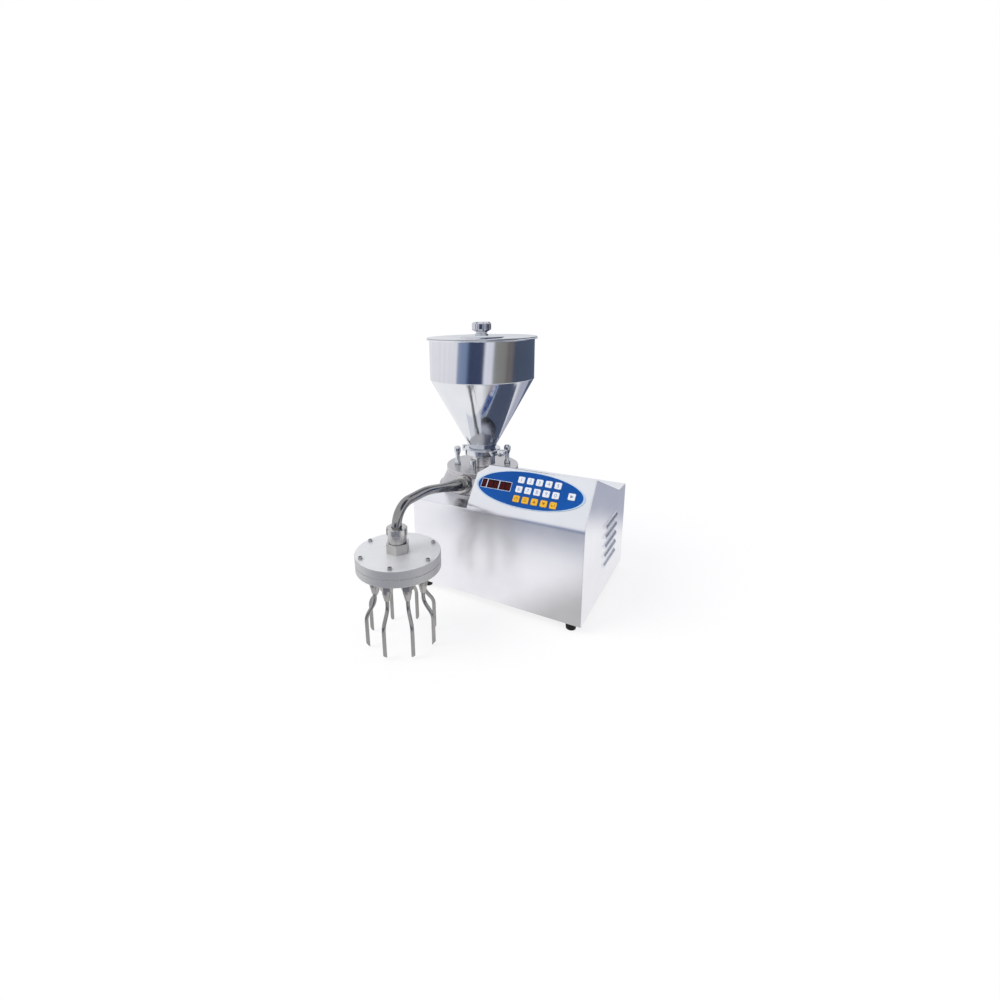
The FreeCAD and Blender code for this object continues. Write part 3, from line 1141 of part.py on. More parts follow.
def hand_knob(label, side):
    """Quick-release knob, screwed down on a stud until it meets the cover."""
    knob = turned(f"{label}_shape", [
        ("stud_radius + fit_gap", "0"), ("hand_knob_base", "0"),
        ("hand_knob_base", "hand_knob_foot"),
        ("hand_knob_waist", "hand_knob_waist_low"),
        ("hand_knob_waist", "hand_knob_waist_top"),
        ("hand_knob_radius", "hand_knob_bulb_low"),
        ("hand_knob_radius", "hand_knob_bulb_top"),
        ("hand_knob_tip", "hand_knob_height"), ("0", "hand_knob_height"),
        ("0", "stud_above + 2 * fit_gap"), ("stud_radius + fit_gap", "stud_above + 2 * fit_gap")])
    soften(knob, f"{label}_shoulder", "hand_knob_shoulder",
           lambda edge: ring_at(edge, "hand_knob_radius", "hand_knob_bulb_low")
           or ring_at(edge, "hand_knob_radius", "hand_knob_bulb_top"))
    place(knob, f"{PUMP_X} {side} {STUD_X}", f"{PUMP_Y} {side} {STUD_Y}",
          f"{TOP_Z} + {COVER_TOP} + fit_gap")
    keep(knob, label)


hand_knob("hand_knob_left", "-")
hand_knob("hand_knob_right", "+")


# Shaft seals over the bushes, in the chamber's floor.
SHAFT_X = "rotor_spacing / 2"
shaft_seals = body("shaft_seals_body")
turn(shaft_seals, outline(sketch(shaft_seals, "seal_section", "XZ_Plane", x=SHAFT_X), [
    ("shaft_radius + shaft_gap", "-seal_height"), ("seal_radius", "-seal_height"),
    ("seal_radius", "0"), ("shaft_radius + shaft_gap", "0")]))
round_pattern(shaft_seals, [shaft_seals.Tip], 2, "both_seals")
on_pump(shaft_seals)
keep(shaft_seals, "shaft_seals")

# Gear case: cup under the casing's spigot, closed at the top by the casing.
CASE_FLOOR = "(-casing_floor - gear_case_height + gear_case_floor)"
CASE_FOOT = "(-casing_floor - gear_case_height)"
gear_case = turned("gear_case_shape", [
    ("0", CASE_FOOT), ("casing_spigot_radius", CASE_FOOT), ("casing_spigot_radius", "-casing_floor"),
    ("casing_spigot_radius - gear_case_side", "-casing_floor"),
    ("casing_spigot_radius - gear_case_side", CASE_FLOOR), ("0", CASE_FLOOR)])
case_bores = sketch(gear_case, "case_bores", z=CASE_FLOOR)
for side in ("-rotor_spacing / 2", "rotor_spacing / 2"):
    circle(case_bores, side, "0", "bush_radius")
pocket(gear_case, case_bores, "gear_case_floor")
on_pump(gear_case)
keep(gear_case, "gear_case")

# Flanged bronze bushes: two in the casing's floor, two in the floor of the gear case.
bushes = body("bushes_body")
upper_bush = turn(bushes, outline(sketch(bushes, "upper_bush", "XZ_Plane", x=SHAFT_X), [
    ("shaft_radius + shaft_gap", "-casing_floor - bush_flange"),
    ("bush_radius + bush_flange", "-casing_floor - bush_flange"),
    ("bush_radius + bush_flange", "-casing_floor"), ("bush_radius", "-casing_floor"),
    ("bush_radius", "-seal_height"), ("shaft_radius + shaft_gap", "-seal_height")]))
lower_bush = turn(bushes, outline(sketch(bushes, "lower_bush", "XZ_Plane", x=SHAFT_X), [
    ("shaft_radius + shaft_gap", CASE_FOOT), ("bush_radius", CASE_FOOT),
    ("bush_radius", CASE_FLOOR), ("bush_radius + bush_flange", CASE_FLOOR),
    ("bush_radius + bush_flange", f"{CASE_FLOOR} + bush_flange"),
    ("shaft_radius + shaft_gap", f"{CASE_FLOOR} + bush_flange")]))
round_pattern(bushes, [upper_bush, lower_bush], 2, "all_bushes")
on_pump(bushes)
keep(bushes, "shaft_bushes")


# Shafts with their timing gears. A tooth's half widths are given in modules at heights in
# modules from the rolling circle, for sixteen teeth with flanks at twenty degrees.
GEAR_TOOTH = ((-1.45, 0.74), (-0.48, 0.85), (0.0, 0.785), (0.5, 0.602), (1.0, 0.333))
GEAR_TOP = "(-casing_floor - gear_drop)"


def gear_shaft(label, side, foot, phase):
    """Shaft with its timing gear, from the foot given up into its rotor."""
    shaft = body(f"{label}_shape")
    pad(shaft, circle(sketch(shaft, f"{label}_foot", z=foot), "0", "0", "shaft_radius"),
        f"shaft_key_depth + chamber_gap - ({foot})")
    blank = circle(sketch(shaft, f"{label}_blank", z=GEAR_TOP), "0", "0",
                   "rotor_spacing / 2 - 1.25 * gear_module")
    pad(shaft, blank, "gear_width", back=True)
    flank = [(f"{width} * gear_module - gear_backlash / 2",
              f"rotor_spacing / 2 + {rise} * gear_module") for rise, width in GEAR_TOOTH]
    other = [(f"0 - ({x})", y) for x, y in reversed(flank)]
    tooth = outline(sketch(shaft, f"{label}_tooth", z=GEAR_TOP), flank + other)
    round_pattern(shaft, [pad(shaft, tooth, "gear_width", back=True)],
                  "rotor_spacing / gear_module", f"{label}_teeth")
    place(shaft, f"{PUMP_X} {side} rotor_spacing / 2", PUMP_Y, TOP_Z, (0, 0, 1), phase)
    keep(shaft, label)


gear_shaft("drive_gear_shaft", "-", f"{CASE_FOOT} - drive_shaft_reach", "0")
gear_shaft("idler_gear_shaft", "+", CASE_FOOT, "180 * gear_module / rotor_spacing")


# Rotors: lobes and hollows are the curves of a small circle rolling round the outside and the
# inside of the rolling circle, so that the two rotors keep the same gap while they turn.
def rotor(label, side):
    """Lobed rotor with a blind bore for its shaft."""
    reach = value("rotor_spacing / 2")
    small = value("rotor_spacing / 4 / rotor_lobes")
    relief = value("rotor_relief")
    arcs = int(2 * value("rotor_lobes"))
    edges = []
    for arc in range(arcs):
        sign = 1 if arc % 2 == 0 else -1
        spots = []
        for step in range(25):
            theta = 2 * math.pi * (arc + step / 24) / arcs
            turned_by = (reach + sign * small) / small * theta
            x = (reach + sign * small) * math.cos(theta) - sign * small * math.cos(turned_by)
            y = (reach + sign * small) * math.sin(theta) - small * math.sin(turned_by)
            spots.append(Vector(x, y, 0))
        spots = [spot * (1 - relief / spot.Length) for spot in spots]
        curve = Part.BSplineCurve()
        curve.interpolate(spots)
        edges.append(curve.toShape())
    face = Part.Face(Part.Wire(edges))
    height = value("casing_height - 2 * chamber_gap")
    solid = face.extrude(Vector(0, 0, height))
    bore = Part.makeCylinder(value("shaft_radius"), value("shaft_key_depth"))
    solid = solid.cut(bore)
    solid.rotate(Vector(0, 0, 0), Vector(0, 0, 1), -180 / arcs)
    thing = doc.addObject("Part::Feature", f"{label}_shape")
    thing.Shape = solid
    place(thing, f"{PUMP_X} {side} rotor_spacing / 2", PUMP_Y, f"{TOP_Z} + chamber_gap")
    keep(thing, label)


rotor("drive_rotor", "-")
rotor("idler_rotor", "+")


# Worm gearbox under the drive shaft, on a bent bracket, with the motor on its side.
BOSS_TOP = f"({CASE_FOOT} - gearbox_drop)"
BOX_TOP = f"({BOSS_TOP} - gearbox_boss_height)"
BOX_FOOT = f"({BOX_TOP} - gearbox_height)"
DRIVE_X = f"({PUMP_X} - rotor_spacing / 2)"
gearbox = body("gearbox_body")
pad(gearbox, rectangle(sketch(gearbox, "gearbox_outline", z=BOX_FOOT), "0", "0", "gearbox_size",
                       "gearbox_size"), "gearbox_height")
soften(gearbox, "gearbox_corners", "gearbox_corner", upright)
pad(gearbox, circle(sketch(gearbox, "gearbox_boss", z=BOX_TOP), "0", "0", "gearbox_boss_radius"),
    "gearbox_boss_height")
pocket(gearbox, circle(sketch(gearbox, "gearbox_bore", z=BOSS_TOP), "0", "0",
                       "shaft_radius + shaft_gap"),
       "drive_shaft_reach - gearbox_drop + 2 * fit_gap")
place(gearbox, DRIVE_X, PUMP_Y, TOP_Z)
keep(gearbox, "worm_gearbox")

bracket = body("bracket_body")
BRACKET_FOOT = "(base_wall - housing_height)"
HALF = "gearbox_size / 2"
outline(sketch(bracket, "bracket_section", "XZ_Plane"), [
    (f"-{HALF} - bracket_flange", BRACKET_FOOT), (f"-{HALF} + bracket_wall", BRACKET_FOOT),
    (f"-{HALF} + bracket_wall", f"{BOX_FOOT} - bracket_wall"),
    (f"{HALF} - bracket_wall", f"{BOX_FOOT} - bracket_wall"),
    (f"{HALF} - bracket_wall", BRACKET_FOOT), (f"{HALF} + bracket_flange", BRACKET_FOOT),
    (f"{HALF} + bracket_flange", f"{BRACKET_FOOT} + bracket_wall"),
    (HALF, f"{BRACKET_FOOT} + bracket_wall"), (HALF, BOX_FOOT), (f"-{HALF}", BOX_FOOT),
    (f"-{HALF}", f"{BRACKET_FOOT} + bracket_wall"),
    (f"-{HALF} - bracket_flange", f"{BRACKET_FOOT} + bracket_wall")])
pad(bracket, doc.getObject("bracket_section"), "gearbox_size", both=True)
place(bracket, DRIVE_X, PUMP_Y, TOP_Z)
keep(bracket, "gearbox_bracket")

motor = turned("motor_shape", [
    ("0", "0"), ("motor_flange_radius", "0"), ("motor_flange_radius", "motor_flange"),
    ("motor_radius", "motor_flange"), ("motor_radius", "motor_groove"),
    ("motor_radius - motor_groove_depth", "motor_groove"),
    ("motor_radius - motor_groove_depth", "motor_groove + motor_groove_width"),
    ("motor_radius", "motor_groove + motor_groove_width"),
    ("motor_radius", "motor_length + motor_flange"), ("0", "motor_length + motor_flange")])
pad(motor, rectangle(sketch(motor, "terminal_box", "YZ_Plane"), "0", "terminal_box_place",
                     "terminal_box_length", "terminal_box_width"),
    "terminal_box_top", back=True)
place(motor, f"{DRIVE_X} + {HALF}", PUMP_Y, f"{TOP_Z} + ({BOX_FOOT} + {BOX_TOP}) / 2",
      (0, 1, 0), "90")
keep(motor, "drive_motor")


# Clamp ring: two grooved halves round the flanges, bolted on one side and hinged on the other.
GROOVE_SLOPE = "(ferrule_root - ferrule_edge) / (ferrule_radius - neck_radius)"
CLAMP_BORE = "(neck_radius + clamp_bore_gap)"
GROOVE_BORE = "(ferrule_radius + fit_gap)"


def groove_half(radius):
    """Half the groove's height at a radius."""
    return f"(ferrule_root + fit_gap - ({radius} - neck_radius) * {GROOVE_SLOPE})"


clamp = turned("clamp", [
    (CLAMP_BORE, "clamp_half_height"), (CLAMP_BORE, groove_half(CLAMP_BORE)),
    (GROOVE_BORE, groove_half(GROOVE_BORE)), (GROOVE_BORE, f"-{groove_half(GROOVE_BORE)}"),
    (CLAMP_BORE, f"-{groove_half(CLAMP_BORE)}"), (CLAMP_BORE, "-clamp_half_height"),
    ("clamp_radius", "-clamp_half_height"), ("clamp_radius", "clamp_half_height")])
soften(clamp, "clamp_edges", "clamp_edge_radius",
       lambda edge: ring_at(edge, "clamp_radius", "clamp_half_height")
       or ring_at(edge, "clamp_radius", "-clamp_half_height"))
lugs = sketch(clamp, "clamp_lugs")
LUG_ROOT = "(ferrule_radius + fit_gap + 1)"
rectangle(lugs, f"(clamp_lug_reach + {LUG_ROOT}) / 2", "0", f"clamp_lug_reach - {LUG_ROOT}",
          "2 * clamp_lug")
pad(clamp, lugs, "2 * clamp_lug_half_height", both=True)
soften(clamp, "clamp_lug_corners", "clamp_lug_corner",
       lambda edge: runs_along(edge, (0, 1, 0)) and near(edge.CenterOfMass.x, value("clamp_lug_reach")))
split = sketch(clamp, "clamp_gap")
rectangle(split, "0", "0", "2 * clamp_lug_reach + 2", "2 * clamp_split")
pocket(clamp, split, "3 * clamp_half_height", both=True)
pocket(clamp, circle(sketch(clamp, "clamp_bolt_hole", "XZ_Plane"), "clamp_bolt_offset", "0",
                     "clamp_bolt_radius + fit_gap"), "3 * clamp_lug", both=True)
STRAP_ROOT = "(clamp_radius + ferrule_radius + fit_gap) / 2"
for label, level, side in (("upper", "fit_gap / 2", ""), ("lower", "fit_gap / 2", "-")):
    knuckle = sketch(clamp, f"{label}_knuckle", z=level if label == "upper" else f"0 - {level}")
    circle(knuckle, "-clamp_hinge_offset", "0", "clamp_knuckle_radius")
    strap = sketch(clamp, f"{label}_strap", z=level if label == "upper" else f"0 - {level}")
    rectangle(strap, f"-(clamp_hinge_offset + {STRAP_ROOT}) / 2",
              f"{side}(clamp_knuckle_radius + clamp_split) / 2",
              f"clamp_hinge_offset - {STRAP_ROOT}", "clamp_knuckle_radius - clamp_split")
    for drawing in (strap, knuckle):
        pad(clamp, drawing, "clamp_half_height - fit_gap / 2", back=label == "lower")
pocket(clamp, circle(sketch(clamp, "hinge_bore"), "-clamp_hinge_offset", "0",
                     "hinge_pin_radius"), "3 * clamp_half_height", both=True)
place(clamp, PUMP_X, PUMP_Y, f"{TOP_Z} + clamp_rise")
keep(clamp, "clamp_ring")

pins = body("clamp_pins_body")
pad(pins, circle(sketch(pins, "bolt", "XZ_Plane", z="clamp_bolt_end"), "clamp_bolt_offset", "0",
                 "clamp_bolt_radius"), "clamp_bolt_end + clamp_lug", back=True)
pad(pins, circle(sketch(pins, "bolt_head", "XZ_Plane", z="-clamp_lug"), "clamp_bolt_offset", "0",
                 "clamp_bolt_head"), "clamp_bolt_radius", back=True)
pad(pins, circle(sketch(pins, "hinge_pin"), "-clamp_hinge_offset", "0", "hinge_pin_radius"),
    "2 * clamp_half_height", both=True)
place(pins, PUMP_X, PUMP_Y, f"{TOP_Z} + clamp_rise")
keep(pins, "clamp_pins")

gasket = turned("gasket", [(NECK_BORE, "-gasket_half"), ("ferrule_radius", "-gasket_half"),
                           ("ferrule_radius", "gasket_half"), (NECK_BORE, "gasket_half")])
place(gasket, PUMP_X, PUMP_Y, f"{TOP_Z} + clamp_rise")
keep(gasket, "clamp_gasket")

# Wing nut on the clamp's bolt, drawn along the bolt from the lug outwards.
wing_nut = turned("wing_hub", [
    ("clamp_bolt_radius + fit_gap", "0"), ("wing_nut_radius + 1", "0"),
    ("wing_nut_radius", "wing_nut_length"), ("clamp_bolt_radius + fit_gap", "wing_nut_length")])
wing = sketch(wing_nut, "wing", "XZ_Plane")
WING_ROOT = "(clamp_bolt_radius + fit_gap + 1)"
outline(wing, [
    (WING_ROOT, "wing_root"), ("wing_nut_radius + 1.5", "wing_root"),
    ("wing_span", "wing_low"), ("wing_span", "wing_high"),
    ("wing_span - 3", "wing_tip"), (WING_ROOT, "wing_root_top")])
round_pattern(wing_nut, [pad(wing_nut, wing, "wing_thickness", both=True)], 2, "both_wings")
place(wing_nut, f"{PUMP_X} + clamp_bolt_offset", f"{PUMP_Y} - clamp_lug - fit_gap",
      f"{TOP_Z} + clamp_rise", (1, 0, 0), "90")
keep(wing_nut, "wing_nut")


# Hopper: spun shell with the upper flange of the clamp joint, cone, cylinder and rolled rim.
HOPPER_SLANT = ("atan2(hopper_radius - neck_radius; hopper_cone_top - hopper_cone_foot)")
INNER_SHIFT = f"((hopper_wall / cos({HOPPER_SLANT}) - hopper_wall) / tan({HOPPER_SLANT}))"
HOPPER_BORE = "(hopper_radius - hopper_wall)"
hopper = turned("hopper_shape", [
    (NECK_BORE, "clamp_rise + gasket_half"), ("ferrule_radius", "clamp_rise + gasket_half"),
    ("ferrule_radius", "clamp_rise + ferrule_edge"), ("neck_radius", "clamp_rise + ferrule_root"),
    ("neck_radius", "hopper_cone_foot"), ("hopper_radius", "hopper_cone_top"),
    ("hopper_radius", "hopper_rim_height - hopper_rim"),
    ("hopper_rim_radius", "hopper_rim_height - hopper_rim"),
    ("hopper_rim_radius", "hopper_rim_height"), (HOPPER_BORE, "hopper_rim_height"),
    (HOPPER_BORE, f"hopper_cone_top + {INNER_SHIFT}"),
    (NECK_BORE, f"hopper_cone_foot + {INNER_SHIFT}")])
soften(hopper, "rim_roll", "hopper_rim_roll",
       lambda edge: ring_at(edge, "hopper_rim_radius", "hopper_rim_height")
       or ring_at(edge, "hopper_rim_radius", "hopper_rim_height - hopper_rim"))
on_pump(hopper)
keep(hopper, "hopper")


# Hopper lid: flat disc with a raised middle and a skirt that centres it in the hopper.
SKIRT_RADIUS = f"({HOPPER_BORE} - lid_skirt_gap)"
LID_CROWN_FOOT = "(lid_crown_radius + 1.5 * lid_crown)"
lid = turned("lid_shape", [
    ("0", "lid_wall + lid_crown"), ("lid_crown_radius", "lid_wall + lid_crown"),
    (LID_CROWN_FOOT, "lid_wall"), ("lid_radius", "lid_wall"), ("lid_radius", "0"),
    (SKIRT_RADIUS, "0"), (SKIRT_RADIUS, "-lid_skirt"), (f"{SKIRT_RADIUS} - lid_wall", "-lid_skirt"),
    (f"{SKIRT_RADIUS} - lid_wall", "0"), (f"{LID_CROWN_FOOT} - lid_wall / 2", "0"),
    ("lid_crown_radius - lid_wall / 2", "lid_crown"), ("0", "lid_crown")])
place(lid, PUMP_X, PUMP_Y, f"{TOP_Z} + hopper_rim_height + fit_gap")
keep(lid, "hopper_lid")

# Fluted knob in the middle of the lid.
lid_knob = turned("lid_knob_shape", [
    ("0", "0"), ("lid_knob_foot", "0"), ("lid_knob_foot", "lid_knob_base"),
    ("lid_knob_waist", "lid_knob_waist_low"), ("lid_knob_waist", "lid_knob_waist_top"),
    ("lid_knob_radius", "lid_knob_grip_low"), ("lid_knob_radius", "lid_knob_grip_top"),
    ("lid_knob_tip", "lid_knob_height"), ("0", "lid_knob_height")])
flute = circle(sketch(lid_knob, "flute", z="lid_knob_height"),
               "lid_knob_radius + lid_knob_flute_offset", "0", "lid_knob_flute_radius")
round_pattern(lid_knob, [pocket(lid_knob, flute, "lid_knob_flute_length")], "lid_knob_flutes",
              "flutes")
place(lid_knob, PUMP_X, PUMP_Y,
      f"{TOP_Z} + hopper_rim_height + fit_gap + lid_wall + lid_crown")
keep(lid_knob, "lid_knob")


# Ring nut at the pump's outlet, drawn along the outlet axis from the joint.
def on_outlet(thing):
    """Place a piece drawn along the outlet axis, from the joint of pump and pipe."""
    place(thing, PUMP_X, f"{PUMP_Y} - outlet_reach", f"{TOP_Z} + outlet_rise", (1, 0, 0),
          "90 - outlet_tilt")


outlet_nut = turned("outlet_nut_shape", [
    ("outlet_spigot_radius + fit_gap", "-union_nut_back"), ("union_nut_radius", "-union_nut_back"),
    ("union_nut_radius", "union_nut_front"), ("pipe_large_radius + fit_gap", "union_nut_front"),
    ("pipe_large_radius + fit_gap", "union_collar + fit_gap"),
    ("union_collar_radius + fit_gap", "union_collar + fit_gap"),
    ("union_collar_radius + fit_gap", "-fit_gap"), ("outlet_spigot_radius + fit_gap", "-fit_gap")])
soften(outlet_nut, "outlet_nut_edges", "nut_edge",
       lambda edge: ring_at(edge, "union_nut_radius", "-union_nut_back")
       or ring_at(edge, "union_nut_radius", "union_nut_front"), "Chamfer")
nut_slot = rectangle(sketch(outlet_nut, "outlet_nut_slot", z="union_nut_front"),
                     "union_nut_radius", "0", "2 * nut_slot_depth", "nut_slot_width")
round_pattern(outlet_nut, [pocket(outlet_nut, nut_slot,
                                  "union_nut_front - union_collar + union_nut_back / 2")],
              "head_nut_slots", "outlet_nut_slots")
on_outlet(outlet_nut)
keep(outlet_nut, "outlet_union_nut")


# Outlet pipe: collar, reducer, gentle crest and a bend down to the filling head.
REDUCER_END = "(pipe_straight + pipe_reducer)"
LARGE_BORE = "(pipe_large_radius - pipe_wall)"
SMALL_BORE = "(pipe_small_radius - pipe_wall)"
pipe = turned("pipe_shape", [
    (LARGE_BORE, "0"), ("union_collar_radius", "0"), ("union_collar_radius", "union_collar"),
    ("pipe_large_radius", "union_collar"), ("pipe_large_radius", "pipe_straight"),
    ("pipe_small_radius", REDUCER_END), (SMALL_BORE, REDUCER_END),
    (LARGE_BORE, "pipe_straight")])
pipe_path = bent_path(sketch(pipe, "pipe_path", "YZ_Plane"), "0", REDUCER_END, [
    ("90", "pipe_rise_run"), ("90 + outlet_tilt", "pipe_level_run"),
    ("outlet_tilt - 180", "pipe_drop + head_collar")], ["pipe_crest_radius", "pipe_bend_radius"])
pipe_ring = sketch(pipe, "pipe_ring", z=REDUCER_END)
circle(pipe_ring, "0", "0", "pipe_small_radius")
circle(pipe_ring, "0", "0", SMALL_BORE)
sweep(pipe, pipe_ring, pipe_path)
# From the joint to the pipe's lower end, along the level and upwards.
RUN_OUT = (f"({REDUCER_END} + pipe_rise_run) * cos(outlet_tilt)"
           " + pipe_crest_radius * sin(outlet_tilt) + pipe_level_run + pipe_bend_radius")
RUN_UP = (f"({REDUCER_END} + pipe_rise_run) * sin(outlet_tilt)"
          " + pipe_crest_radius * (1 - cos(outlet_tilt)) - pipe_bend_radius"
          " - pipe_drop - head_collar")
collar = sketch(pipe, "lower_collar", "XY_Plane", 0,
                f"0 - ({RUN_OUT}) * sin(outlet_tilt) + ({RUN_UP}) * cos(outlet_tilt)",
                f"({RUN_OUT}) * cos(outlet_tilt) + ({RUN_UP}) * sin(outlet_tilt)",
                (-1, 0, 0), "90 - outlet_tilt")
circle(collar, "0", "0", "head_collar_radius")
circle(collar, "0", "0", "pipe_small_radius - pipe_wall / 2")
pad(pipe, collar, "head_collar")
on_outlet(pipe)
keep(pipe, "outlet_pipe")


# Filling head. Its pieces are drawn round its axis, from the joint with the pipe downwards.
HEAD_Y = f"({PUMP_Y} - outlet_reach - ({RUN_OUT}))"
JOINT_Z = f"({TOP_Z} + outlet_rise + {RUN_UP})"
PLATE_TOP = "(-adapter_neck - adapter_height)"
PLATE_JOINT = f"({PLATE_TOP} - head_top_plate)"
PLATE_FOOT = f"({PLATE_JOINT} - head_bottom_plate)"


def on_head(thing, turned_by="0"):
    """Place a piece drawn round the filling head's axis."""
    place(thing, PUMP_X, HEAD_Y, JOINT_Z, (0, 0, 1), turned_by)


NUT_FOOT = "(fit_gap - adapter_neck)"
NUT_TOP = f"({NUT_FOOT} + head_nut_height)"
head_nut = turned("head_nut_shape", [
    ("adapter_thread_radius + fit_gap", NUT_FOOT), ("head_nut_radius", NUT_FOOT),
    ("head_nut_radius", f"{NUT_TOP} - head_nut_rim - nut_edge"),
    ("head_nut_rim_radius", f"{NUT_TOP} - head_nut_rim"),
    ("head_nut_rim_radius", f"{NUT_TOP} - nut_edge"),
    ("head_nut_rim_radius - nut_edge", NUT_TOP), ("pipe_small_radius + 2 * fit_gap", NUT_TOP),
    ("pipe_small_radius + 2 * fit_gap", "head_collar + fit_gap"),
    ("adapter_thread_radius + fit_gap", "head_collar + fit_gap")])
head_slot = rectangle(sketch(head_nut, "head_nut_slot", z=NUT_TOP), "head_nut_rim_radius", "0",
                      "2 * nut_slot_depth", "nut_slot_width")
round_pattern(head_nut, [pocket(head_nut, head_slot, "head_nut_rim")], "head_nut_slots",
              "head_nut_all_slots")
on_head(head_nut)
keep(head_nut, "head_union_nut")

adapter = body("adapter_body")
pad(adapter, hexagon(sketch(adapter, "adapter_outline", z=PLATE_TOP), "0", "0", "adapter_hex"),
    "adapter_height")
pad(adapter, circle(sketch(adapter, "adapter_thread", z="-adapter_neck"), "0", "0",
                    "adapter_thread_radius"), "adapter_neck - fit_gap")
pad(adapter, circle(sketch(adapter, "adapter_spigot", z=PLATE_TOP), "0", "0",
                    "adapter_spigot_radius"), "head_top_plate", back=True)
pocket(adapter, circle(sketch(adapter, "adapter_bore"), "0", "0", SMALL_BORE),
       "adapter_neck + adapter_height + head_top_plate")
on_head(adapter)
keep(adapter, "head_adapter")

top_plate = turned("top_plate_shape", [
    ("adapter_spigot_radius", PLATE_JOINT), ("head_radius", PLATE_JOINT),
    ("head_radius", f"{PLATE_TOP} - head_edge"), ("head_radius - head_edge", PLATE_TOP),
    ("adapter_spigot_radius", PLATE_TOP)])
plate_hole = circle(sketch(top_plate, "plate_screw_hole", z=PLATE_TOP), "head_screw_circle", "0",
                    "head_screw_radius")
round_pattern(top_plate, [pocket(top_plate, plate_hole, "head_top_plate")], "head_screws",
              "plate_screw_holes")
on_head(top_plate, "head_screw_angle")
keep(top_plate, "head_top_plate")

CHAMBER_FLOOR = f"({PLATE_JOINT} - head_chamber_height)"
bottom_plate = turned("bottom_plate_shape", [
    ("0", PLATE_FOOT), ("head_radius - head_edge", PLATE_FOOT),
    ("head_radius", f"{PLATE_FOOT} + head_edge"), ("head_radius", f"{PLATE_JOINT} - head_edge"),
    ("head_radius - head_edge", PLATE_JOINT), ("head_chamber_radius", PLATE_JOINT),
    ("head_chamber_radius", CHAMBER_FLOOR), ("0", CHAMBER_FLOOR)])
feed = circle(sketch(bottom_plate, "feed_hole", z=CHAMBER_FLOOR),
              "nozzle_circle * cos(nozzle_angle - head_screw_angle)",
              "nozzle_circle * sin(nozzle_angle - head_screw_angle)", "nozzle_radius - nozzle_wall")
round_pattern(bottom_plate, [pocket(bottom_plate, feed,
                                    "head_bottom_plate - head_chamber_height")],
              "nozzles", "feed_holes")
thread = circle(sketch(bottom_plate, "plate_thread", z=PLATE_JOINT), "head_screw_circle", "0",
                "head_screw_radius")
round_pattern(bottom_plate, [pocket(bottom_plate, thread, "head_screw_grip")], "head_screws",
              "plate_threads")
on_head(bottom_plate, "head_screw_angle")
keep(bottom_plate, "head_bottom_plate")

screws = body("head_screws_body")
turn(screws, outline(sketch(screws, "screw_section", "XZ_Plane", x="head_screw_circle"), [
    ("0", f"{PLATE_JOINT} - head_screw_grip"),
    ("head_screw_radius", f"{PLATE_JOINT} - head_screw_grip"), ("head_screw_radius", PLATE_TOP),
    ("head_screw_head", PLATE_TOP), ("head_screw_head", f"{PLATE_TOP} + head_screw_head_height"),
    ("head_screw_head / 2", f"{PLATE_TOP} + head_screw_head_height"),
    ("head_screw_head / 2", f"{PLATE_TOP} + head_screw_head_height / 2"),
    ("0", f"{PLATE_TOP} + head_screw_head_height / 2")]))
round_pattern(screws, [screws.Tip], "head_screws", "all_head_screws")
on_head(screws, "head_screw_angle")
keep(screws, "head_screws")

fittings = body("fittings_body")
fitting_ring = turn(fittings, outline(sketch(fittings, "fitting_ring", "XZ_Plane",
                                             x="nozzle_circle"), [
    ("nozzle_radius", PLATE_FOOT), ("fitting_ring_radius", PLATE_FOOT),
    ("fitting_ring_radius", f"{PLATE_FOOT} - fitting_ring"),
    ("nozzle_radius", f"{PLATE_FOOT} - fitting_ring")]))
HEX_FOOT = f"({PLATE_FOOT} - fitting_ring - fitting_hex_height)"
nut_outline = sketch(fittings, "fitting_hexagon", z=HEX_FOOT)
hexagon(nut_outline, "nozzle_circle", "0", "fitting_hex")
circle(nut_outline, "nozzle_circle", "0", "nozzle_radius")
fitting_hexagon = pad(fittings, nut_outline, "fitting_hex_height")
fitting_cone = turn(fittings, outline(sketch(fittings, "fitting_cone", "XZ_Plane",
                                             x="nozzle_circle"), [
    ("nozzle_radius", HEX_FOOT), ("fitting_collar_radius", HEX_FOOT),
    ("fitting_collar_radius", f"{HEX_FOOT} - fitting_collar"),
    ("fitting_tip_radius", f"{HEX_FOOT} - fitting_collar - fitting_cone"),
    ("nozzle_radius", f"{HEX_FOOT} - fitting_collar - fitting_cone")]))
round_pattern(fittings, [fitting_ring, fitting_hexagon, fitting_cone], "nozzles",
              "all_fittings")
on_head(fittings, "nozzle_angle")
keep(fittings, "nozzle_fittings")

# Nozzle tubes: each steps outwards between two bends and ends in a bevel facing outwards.
tubes = body("tubes_body")
STEP_RUN = ("((nozzle_spread - 2 * nozzle_bend_radius * (1 - cos(nozzle_slope)))"
            " / sin(nozzle_slope))")
LOWER_RUN = ("(nozzle_length - nozzle_upper_run - 2 * nozzle_bend_radius * sin(nozzle_slope)"
             f" - {STEP_RUN} * cos(nozzle_slope))")
tube_path = bent_path(sketch(tubes, "tube_path", "XZ_Plane"), "nozzle_circle", PLATE_FOOT, [
    ("-90", "nozzle_upper_run"), ("nozzle_slope - 90", STEP_RUN), ("-90", LOWER_RUN)],
    ["nozzle_bend_radius", "nozzle_bend_radius"])
tube_ring = sketch(tubes, "tube_ring", z=PLATE_FOOT)
circle(tube_ring, "nozzle_circle", "0", "nozzle_radius")
circle(tube_ring, "nozzle_circle", "0", "nozzle_radius - nozzle_wall")
tube = sweep(tubes, tube_ring, tube_path)
TIP_X = "(nozzle_circle + nozzle_spread)"
TIP_Z = f"({PLATE_FOOT} - nozzle_length)"
